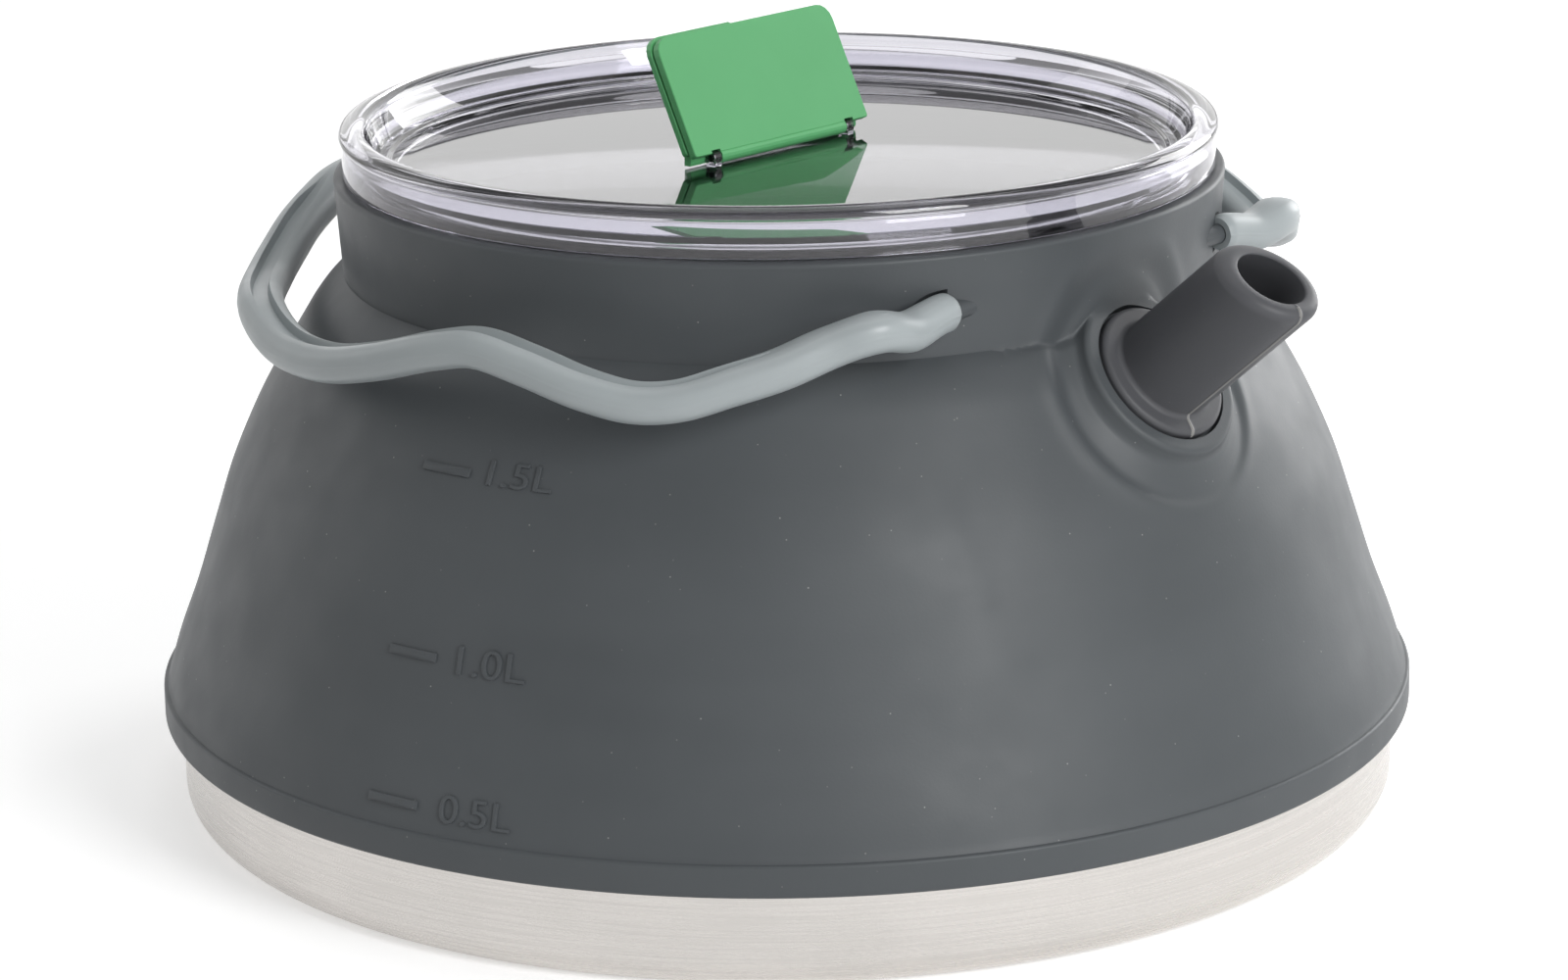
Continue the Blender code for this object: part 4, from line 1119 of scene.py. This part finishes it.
@dataclass
class SpoutTube:
    """The silicone spout: a flanged tube with a slanted mouth and its mould seam."""

    place: SpoutPlace
    length: float = 24.8 * MM
    radius: float = 7.75 * MM
    bore: float = 5.05 * MM
    lip: float = 1.9 * MM
    throat: float = 0.3 * MM
    root: float = 0.8 * MM
    flange: float = 10.6 * MM
    flange_round: float = 0.8 * MM
    flange_face: float = -0.3 * MM
    flange_under: float = -2.0 * MM
    inner_flange: tuple[Point2, ...] = mm((8.3, -2.1), (8.3, -5.1), (10.3, -5.1), (10.3, -6.9),
                                          (7.6, -6.9))
    slant: float = math.radians(18.3)
    seam_height: float = 0.2 * MM
    seam_width: float = 0.26 * MM
    seam_turn: float = math.radians(-10.0)
    # Extra columns over the seam, in degrees from it.
    seam_columns: tuple[float, ...] = (-4.2, -3.2, -2.4, -1.7, -1.1, -0.5,
                                       0.5, 1.1, 1.7, 2.4, 3.2, 4.2)

    def outline(self) -> list[Point2]:
        """The tube's closed outline as distance from its axis and height along it.

        Returns:
            The points, down the outer side and up the bore.
        """
        top, edge = self.length - self.lip, self.flange - self.flange_round
        points = arc((self.radius - self.lip, top), self.lip, 90.0, 0.0, 12)
        points += [(self.radius, s) for s in np.linspace(top, self.root, 16)[1:-1]]
        points += arc((self.radius + self.root, self.root), self.root, 180.0, 270.0, 6)
        points += arc((edge, -self.flange_round), self.flange_round, 90.0, 0.0, 7)
        points += [(self.flange, -2.1 * MM), *self.inner_flange, (self.bore, -4.9 * MM)]
        points += [(self.bore, s) for s in np.linspace(0.0, self.length - self.throat, 8)[:-1]]
        return points + arc((self.bore + self.throat, self.length - self.throat), self.throat,
                            180.0, 90.0, 4)

    def facing(self, out: float, rise: float) -> Point2:
        """The way that the outer side faces at a point of its outline.

        Args:
            out: The point's distance from the axis.
            rise: Its height along the axis.

        Returns:
            Shares away from the axis and along it. Both are 0 in the bore and under the flange.
        """
        if out < self.radius - self.lip or rise < self.flange_under:
            return 0.0, 0.0
        if rise > self.root:
            over = max(rise - (self.length - self.lip), 0.0)
            turn = math.atan2(over, out - (self.radius - self.lip))
        else:
            turn = 0.0 if rise < self.flange_face else math.pi / 2
        return math.cos(turn), math.sin(turn)

    def build(self) -> None:
        """Makes the spout."""
        turns = np.unique(np.concatenate([np.linspace(0, math.tau, 144, endpoint=False),
                                          (np.radians(self.seam_columns) + self.seam_turn)
                                          % math.tau]))
        from_seam = (turns - self.seam_turn + math.pi) % math.tau - math.pi
        ridge = np.exp(-(from_seam * self.radius / self.seam_width) ** 2) * self.seam_height
        sheet = Sheet()
        rows = []
        for out, rise in self.outline():
            away, along = self.facing(out, rise)
            heights = rise + along * ridge
            if rise > self.root:
                heights += math.tan(self.slant) * out * np.cos(turns) * rise / self.length
            rows.append(sheet.add_row(self.place.points(out + away * ridge, math.pi - turns,
                                                        heights)))
        sheet.loft(rows)
        spout = sheet.build("spout", SPOUT_SILICONE)
        self.mark_seam(spout)
        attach(spout, "neck")
        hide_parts("spout_tube")
        report(spout)

    def mark_seam(self, spout: Item) -> None:
        """Gives the faces of the mould seam the paler look of trimmed flash.

        Args:
            spout: The spout.
        """
        spout.data.materials.append(FLASH_SILICONE.material())
        faces = spout.data.polygons
        middle = np.array([face.center for face in faces])
        out, turn = self.place.polar(middle)
        from_seam = (math.tau - turn - self.seam_turn) % math.tau - math.pi
        height = (middle - np.array(self.place.face)) @ self.place.axes()[0]
        seam = ((np.abs(from_seam) * out < self.seam_width) & (out > self.radius - self.lip)
                & (height > -1 * MM))
        for face, on_seam in zip(faces, seam):
            face.material_index = int(on_seam)


def run_along(line: np.ndarray) -> np.ndarray:
    """Distances along a line of points, one for each, from its first."""
    return np.concatenate([[0], np.cumsum(np.linalg.norm(np.diff(line, axis=0), axis=1))])


@dataclass
class Handle:
    """The wavy moulded bail, with a channel along its top and its parting line."""

    stations: int = 300
    radius: float = 79.3 * MM
    dip: float = 11.3 * MM
    width: float = 7.0 * MM
    height: float = 5.6 * MM
    squareness: float = 2.7
    knuckle: float = 2.8 * MM
    knuckle_end: float = 2.4 * MM
    knuckle_round: float = 1.1 * MM
    knuckle_y: float = 30.8 * MM
    knuckle_length: float = 1.6 * MM
    elbow: Point3 = (60.0 * MM, 34.9 * MM, 88.6 * MM)
    bore: float = 1.5 * MM
    bore_depth: float = 4.3 * MM
    taper: float = 12.0 * MM
    channel: float = 2.9 * MM
    channel_floor: float = 2.2 * MM
    channel_depth: float = 1.3 * MM
    # Angles round the kettle at which the channel starts and ends, and how far it takes to.
    channel_ends: Point2 = (47.0, 163.0)
    channel_fade: float = 8.0
    parting: float = 0.06 * MM
    parting_width: float = 0.16 * MM
    # Angle round the kettle, share of the radius, and share of the dip below the pivot.
    route_shares: tuple[Point3, ...] = (
        (33.2, 0.904, 0.106), (37.2, 0.946, 0.0), (42.6, 0.948, 0.177), (47.5, 0.964, 0.394),
        (53.0, 0.981, 0.58), (58.0, 0.998, 0.747), (62.0, 1.006, 0.773), (67.0, 1.01, 0.646),
        (73.5, 1.005, 0.412), (80.0, 1.0, 0.276), (84.0, 1.0, 0.369), (93.0, 1.0, 0.686),
        (101.0, 1.0, 0.909), (111.0, 1.0, 1.0), (125.0, 1.0, 0.855), (141.0, 0.988, 0.804),
        (148.0, 0.986, 0.654), (153.0, 0.988, 0.504), (160.0, 0.992, 0.31), (165.0, 1.0, 0.194),
        (172.0, 1.0, 0.111), (180.0, 1.0, 0.088))

    def route(self) -> np.ndarray:
        """Points along half of the centreline, close together and smoothed.

        Returns:
            An array of (x, y, z) rows, from the knuckle's end to the middle of the back.
        """
        x, z = PIVOT
        knots = [(x, self.knuckle_y, z), (x, self.knuckle_y + self.knuckle_length, z), self.elbow]
        for angle, out, down in self.route_shares:
            turn, away = math.radians(angle), self.radius * out
            knots.append((away * math.cos(turn), away * math.sin(turn), z - self.dip * down))
        knots += [(p[0], -p[1], p[2]) for p in knots[-2:-5:-1]]
        run = run_along(np.array(knots))
        end = run[len(run) - 4]
        places = np.arange(0.0, run[-1], 0.25 * MM)
        line = along_curve(run, np.array(knots), places)
        reach = 10
        weights = np.hanning(2 * reach + 1)
        weights /= weights.sum()
        smooth = line.copy()
        for axis in range(3):
            smooth[reach:-reach, axis] = np.convolve(line[:, axis], weights, 'valid')
        fade = ease((places - 4 * MM) / (6 * MM))[:, None]
        smooth = line + (smooth - line) * fade
        wanted = np.linspace(0.0, end, self.stations)
        return np.stack([np.interp(wanted, places, smooth[:, k]) for k in range(3)], axis=1)

    def section(self, half_width: float, half_height: float, power: float,
                share: float) -> np.ndarray:
        """The bail's section as (out, up) points.

        Args:
            half_width: Half its width.
            half_height: Half its height.
            power: Exponent of its rounded shape, 2 being an ellipse.
            share: How much of the channel's width and depth it has.

        Returns:
            The points, anticlockwise from its outer side.
        """
        side = np.radians([0, 2, 4, 7, 12, 20, 29, 38, 47, 55])
        under = np.linspace(math.radians(242), math.radians(298), 7)
        angles = np.concatenate([side, math.pi - side[::-1], math.pi + side[1:], under,
                                 math.tau - side[:0:-1]])
        c, s = np.cos(angles), np.sin(angles)
        out = half_width * np.sign(c) * np.abs(c) ** (2 / power)
        up = half_height * np.sign(s) * np.abs(s) ** (2 / power)
        out = out + np.sign(out) * self.parting * np.exp(-(up / self.parting_width) ** 2)
        edge = self.channel / 2 * (1 + 2 * share) / 3
        floor = self.channel_floor / 2 * (1 + 2 * share) / 3
        limit = out[len(side) - 1] * 0.97
        top = np.array([limit, 0.86 * limit, edge + 0.3 * MM, edge + 0.12 * MM, edge,
                        (edge * 2 + floor) / 3, (edge + floor * 2) / 3, floor, floor * 0.6,
                        floor * 0.2])
        top = np.sort(np.minimum(top, limit))[::-1]
        top = np.concatenate([top, -top[::-1]])
        crown = half_height * (1 - np.abs(top / half_width) ** power) ** (1 / power)
        depth = self.channel_depth * share * (1 - ease((np.abs(top) - floor) / (edge - floor)))
        sides = np.stack([out, up], axis=1)
        return np.concatenate([sides[:len(side)], np.stack([top, crown - depth], axis=1),
                               sides[len(side):]])

    def sections(self) -> list[np.ndarray]:
        """The bail's sections placed along its route.

        Returns:
            One array of (x, y, z) rows for each, from the knuckle's end to the back.
        """
        line = self.route()
        along = np.gradient(line, axis=0)
        along /= np.linalg.norm(along, axis=1)[:, None]
        out = np.cross(along, (0.0, 0.0, 1.0))
        out /= np.linalg.norm(out, axis=1)[:, None]
        up = np.cross(out, along)
        placed = []
        for i, run in enumerate(run_along(line)):
            wide = float(ease((run - self.knuckle_length) / self.taper))
            near = min(run / self.knuckle_round, 1.0)
            knuckle = self.knuckle_end + (self.knuckle - self.knuckle_end) * math.sqrt(
                1 - (1 - near) ** 2)
            half_width = knuckle + (self.width / 2 - knuckle) * wide
            half_height = knuckle + (self.height / 2 - knuckle) * wide
            turn = math.degrees(math.atan2(line[i, 1], line[i, 0]))
            start, end = self.channel_ends
            share = float(min(ease((turn - start) / self.channel_fade),
                              ease((end - turn) / self.channel_fade)))
            flat = self.section(half_width, half_height, 2 + (self.squareness - 2) * wide, share)
            placed.append(line[i] + flat[:, :1] * out[i] + flat[:, 1:] * up[i])
        placed[-1][:, 1] = 0.0
        return placed

    def build(self) -> None:
        """Lofts the bail through its sections, and mirrors it."""
        half = self.sections()
        sheet = Sheet()
        rows = [sheet.add_row(points) for points in half]
        rows += [sheet.add_row(points * (1, -1, 1)) for points in half[::-1]]
        sheet.loft(rows, closed=False)
        sheet.faces += [tuple(rows[0]), tuple(rows[-1])]
        handle = sheet.build("handle", HANDLE_PLASTIC)
        combine(handle, Join.CUT, *pivot_rods("bore", self.bore, 2 * self.bore_depth,
                                              self.knuckle_y, HANDLE_PLASTIC))
        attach(handle, "handle")
        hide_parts("handle_bail")
        report(handle)


# Lid and tab

@dataclass
class Lid:
    """The clear lid: sunk floor, wall with a bead, plug, and the tab's two hinge lugs."""

    floor_radius: float = 58.7 * MM
    floor_z: float = 99.0 * MM
    floor_round: float = 0.2 * MM
    underside: float = 97.0 * MM
    ledge: float = 0.6 * MM
    ledge_width: float = 1.3 * MM
    ledge_round: float = 0.15 * MM
    seat_radius: float = 66.0 * MM
    seat_z: float = 97.4 * MM
    seat_round: float = 0.25 * MM
    bead_radius: float = 66.4 * MM
    bead_width: float = 4.0 * MM
    bead_low: float = 103.2 * MM
    bead_round: float = 0.2 * MM
    top: float = 104.8 * MM
    hollow_gap: float = 0.4 * MM
    hollow_drop: float = 0.9 * MM
    hollow_round: float = 0.3 * MM
    wall: float = 1.5 * MM
    plug: float = 64.1 * MM
    plug_wall: float = 2.0 * MM
    plug_end: float = 94.1 * MM
    plug_round: float = 0.5 * MM
    plug_edge: float = 0.3 * MM
    plug_root: float = 0.4 * MM
    axis: Point3 = (0.45 * MM, 0.0, 100.3 * MM)
    lug_y: float = 14.85 * MM
    lug_thickness: float = 1.3 * MM
    lug_radius: float = 1.05 * MM
    lug_foot: float = 0.85 * MM
    lug_root: float = 0.5 * MM
    lug_bore: float = 0.65 * MM

    def outline(self) -> list[Point2]:
        """The lid's outline from the middle of its floor, over the bead, to its underside.

        Returns:
            The points.
        """
        step = self.floor_radius + 0.3 * MM
        ledge = self.floor_z + self.ledge
        middle = self.bead_radius - self.bead_width / 2
        hollow, hollow_top = self.plug + self.hollow_gap, self.bead_low - self.hollow_drop
        back = step + self.ledge_width + self.wall
        inner = self.plug - self.plug_wall
        points = [(0.0, self.floor_z), (self.floor_radius - 3 * MM, self.floor_z)]
        points += arc((self.floor_radius - self.floor_round, self.floor_z + self.floor_round),
                      self.floor_round, -90.0, 0.0, 4)
        points += arc((step + self.ledge_round, ledge - self.ledge_round), self.ledge_round,
                      180.0, 90.0, 4)
        points.append((step + self.ledge_width, ledge))
        for across, up in arc((0.0, 0.0), 1.0, 180.0, 0.0, 24):
            points.append((middle + self.bead_width / 2 * across,
                           self.bead_low + (self.top - self.bead_low) * up))
        points += arc((self.bead_radius - self.bead_round, self.bead_low), self.bead_round,
                      -20.0, -90.0, 4)
        points += arc((self.seat_radius + self.bead_round, self.bead_low - 0.4 * MM),
                      self.bead_round, 90.0, 180.0, 4)
        points += [(self.seat_radius, 100.5 * MM)]
        points += arc((self.seat_radius - self.seat_round, self.seat_z + self.seat_round),
                      self.seat_round, 0.0, -90.0, 4)
        points += [(hollow, self.seat_z), (hollow, hollow_top)]
        points += arc((hollow - self.hollow_round, hollow_top), self.hollow_round,
                      0.0, 120.0, 5)[1:]
        points += [(back, ledge + 0.2 * MM), (back + 0.3 * MM, self.floor_z)]
        points += [(self.plug, self.floor_z - 0.6 * MM), (self.plug, self.seat_z)]
        points += arc((self.plug - self.plug_round, self.plug_end + self.plug_round),
                      self.plug_round, 0.0, -90.0, 5)
        points += arc((inner + self.plug_edge, self.plug_end + self.plug_edge), self.plug_edge,
                      -90.0, -180.0, 4)
        points += arc((inner - self.plug_root, self.underside - self.plug_root), self.plug_root,
                      0.0, 90.0, 4)
        return points + [(0.0, self.underside)]

    def lug(self, side: int) -> Item:
        """A lug for the tab's pin, round above and rooted in the floor.

        Args:
            side: 1 for the lug at +Y, -1 for the other one.

        Returns:
            The lug.
        """
        foot = self.floor_z - self.lug_root - self.axis[2]
        outline = arc((0.0, 0.0), self.lug_radius, 0.0, 180.0, 24)
        outline += [(-self.lug_foot, foot), (self.lug_foot, foot)]
        flat = np.array([(x, side * self.lug_y, z) for x, z in outline]) + self.axis
        half = np.array((0.0, self.lug_thickness / 2, 0.0))
        sheet = Sheet()
        ends = [sheet.add_row(flat - half), sheet.add_row(flat + half)]
        sheet.bridge(*ends)
        sheet.faces += [tuple(end) for end in ends]
        return sheet.build(f"lug_{side}", LID_PLASTIC)

    def build(self) -> None:
        """Makes the lid."""
        lid = revolve("lid_shell", self.outline(), LID_PLASTIC)
        combine(lid, Join.ADD, self.lug(1), self.lug(-1))
        combine(lid, Join.CUT, rod("lug_bore", self.lug_bore, 2 * (self.lug_y + 2 * MM), self.axis,
                                   LID_PLASTIC))
        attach(lid, "lid")
        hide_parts("lid")
        report(lid)


# The imported solids that stay in sight as they are.
# The pins' dark finish is partly painted shade: the pivot pins pass for the contact shade at the
# knuckles, and the tab's pin for the shadow line along the tab's foot.
KEPT_NODES = {"neck_ring": RING_PLASTIC, "pivot_pin_left": PIN_STEEL_DARK_AS_SHADE, "pivot_pin_right": PIN_STEEL_DARK_AS_SHADE,
              "tab_pin": PIN_STEEL_DARK_AS_SHADE, "tab_plate": TAB_PLASTIC, "tab_back": TAB_PLASTIC}


def dress_node(name: str, finish: Finish) -> None:
    """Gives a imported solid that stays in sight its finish.

    Args:
        name: The node's name.
        finish: What it is made of.
    """
    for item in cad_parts[name].material_slots:
        item.material = finish.material()
    LOG.info("%s: %s", name, finish.name)


# Studio and camera

@dataclass
class Studio:
    """A plain pale floor, an even white surround and soft lamps."""

    level: float = 0.27
    # The surround is white up to the first of these shares of a ray's height, and ends at the other.
    white_span: Point2 = (0.40, 0.70)
    floor_colour: str = "#F4F4F4"
    floor_side: float = 6.0
    floor_glow: float = 0.4
    # Name, place and size in metres, and power in watts.
    lamps: tuple[tuple[str, Point3, Point2, float], ...] = (
        ("right", (0.86, -0.16, 0.46), (0.35, 0.5), 5.4),
        ("rim", (0.08, 0.98, 0.36), (0.5, 0.6), 4.8),
        ("top", (-0.10, 0.10, 1.05), (0.9, 0.9), 2.8),
        ("backdrop", (-0.55, 0.98, 0.40), (1.7, 0.6), 2.0),
        ("left", (-0.92, -0.34, 0.42), (0.4, 0.7), 0.8))
    lamp_target: Point3 = (0.0, 0.0, 0.05)

    def background(self, tree: bpy.types.NodeTree) -> Socket:
        """1 for rays that see the surround straight, in gloss or through clear plastic.

        Args:
            tree: The tree of the world or the floor.

        Returns:
            The share of the white surround.
        """
        path = add_node(tree, "ShaderNodeLightPath")
        seen = add_node(tree, "ShaderNodeMath", {"operation": 'MAXIMUM'},
                        {0: path.outputs["Is Camera Ray"], 1: path.outputs["Is Glossy Ray"]})
        return add_node(tree, "ShaderNodeMath", {"operation": 'MAXIMUM'},
                        {0: seen.outputs[0], 1: path.outputs["Is Transmission Ray"]}).outputs[0]

    def world(self) -> None:
        """Lights the scene evenly; a white surround is seen low down, and ends overhead."""
        world = bpy.data.worlds.new("studio")
        bpy.context.scene.world = world
        world.use_nodes = True
        tree = world.node_tree
        tree.nodes.clear()
        ray = add_node(tree, "ShaderNodeTexCoord").outputs["Generated"]
        height = add_node(tree, "ShaderNodeSeparateXYZ", {}, {0: ray}).outputs[2]
        low = add_node(tree, "ShaderNodeMapRange", {1: self.white_span[0], 2: self.white_span[1],
                                                    3: 1.0, 4: 0.0}, {0: height})
        share = add_node(tree, "ShaderNodeMath", {"operation": 'MULTIPLY'},
                         {0: self.background(tree), 1: low.outputs[0]}).outputs[0]
        level = add_node(tree, "ShaderNodeMapRange", {3: self.level, 4: 1.0}, {0: share})
        shown = add_node(tree, "ShaderNodeBackground", {"Color": (1, 1, 1, 1)},
                         {"Strength": level.outputs[0]})
        add_node(tree, "ShaderNodeOutputWorld", {}, {0: shown.outputs[0]})

    def floor(self) -> None:
        """A large pale floor that keeps the object's soft shadow."""
        mesh = bpy.data.meshes.new("floor")
        side = self.floor_side
        mesh.from_pydata([(-side, -side, 0), (side, -side, 0), (side, side, 0), (-side, side, 0)],
                         [], [(0, 1, 2, 3)])
        floor = bpy.data.objects.new("floor", mesh)
        floor.location.z = -0.05 * MM
        link(floor)
        made = bpy.data.materials.new("studio floor")
        made.use_nodes = True
        tree = made.node_tree
        tree.nodes.clear()
        matte = add_node(tree, "ShaderNodeBsdfDiffuse", {"Color": linear(self.floor_colour)})
        lift = add_node(tree, "ShaderNodeMath", {"operation": 'MULTIPLY', 1: self.floor_glow},
                        {0: self.background(tree)})
        glow = add_node(tree, "ShaderNodeEmission", {}, {"Strength": lift.outputs[0]})
        both = add_node(tree, "ShaderNodeAddShader", {}, {0: matte.outputs[0], 1: glow.outputs[0]})
        add_node(tree, "ShaderNodeOutputMaterial", {}, {0: both.outputs[0]})
        mesh.materials.append(made)

    def lamp(self, name: str, place: Point3, size: Point2, power: float) -> None:
        """Adds a soft lamp that faces the kettle.

        Args:
            name: The lamp's name.
            place: Where it stands.
            size: Its width and height.
            power: Its power in watts.
        """
        data = bpy.data.lights.new(name, 'AREA')
        data.shape = 'RECTANGLE'
        data.size, data.size_y = size
        data.energy = power
        item = bpy.data.objects.new(name, data)
        item.location = place
        item.rotation_mode = 'QUATERNION'
        away = Vector(place) - Vector(self.lamp_target)
        item.rotation_quaternion = away.to_track_quat('Z', 'Y')
        link(item)

    def build(self) -> None:
        """Sets up the world, the floor and the lamps."""
        self.world()
        self.floor()
        for lamp in self.lamps:
            self.lamp(*lamp)


@dataclass
class PhotoCamera:
    """The camera at the photograph's angle."""

    place: Point3 = (484.5 * MM, -526.9 * MM, 251.7 * MM)
    turn: float = math.radians(42.6)
    pitch: float = 0.2808
    roll: float = -0.0155
    lens: float = 110.61
    sensor: float = 36.0
    nearest: float = 0.01

    def build(self) -> None:
        """Makes the camera and sets it as the scene's own."""
        ahead = Vector((0.0, math.cos(self.pitch), -math.sin(self.pitch)))
        level = Vector((1.0, 0.0, 0.0))
        above = Vector((0.0, math.sin(self.pitch), math.cos(self.pitch)))
        right = math.cos(self.roll) * level + math.sin(self.roll) * above
        up = -math.sin(self.roll) * level + math.cos(self.roll) * above
        turn = Matrix.Rotation(self.turn, 3, 'Z')
        columns = Matrix((turn @ right, turn @ up, -(turn @ ahead))).transposed()
        data = bpy.data.cameras.new("photo_camera")
        data.lens = self.lens
        data.sensor_width = self.sensor
        data.clip_start = self.nearest
        camera = bpy.data.objects.new("photo_camera", data)
        camera.matrix_world = Matrix.Translation(self.place) @ columns.to_4x4()
        link(camera)
        bpy.context.scene.camera = camera


def main() -> None:
    """Builds the kettle's looks, the studio and the camera."""
    PhotoCamera().build()
    shape, place = BodyShape(), SpoutPlace()
    SiliconeBody(shape, place).build()
    FillMarks(shape).build()
    Pan().build()
    SpoutTube(place).build()
    Handle().build()
    Lid().build()
    for name, finish in KEPT_NODES.items():
        dress_node(name, finish)
    Studio().build()
    bpy.context.scene.view_settings.view_transform = 'Standard'


if __name__ == "__main__":
    main()
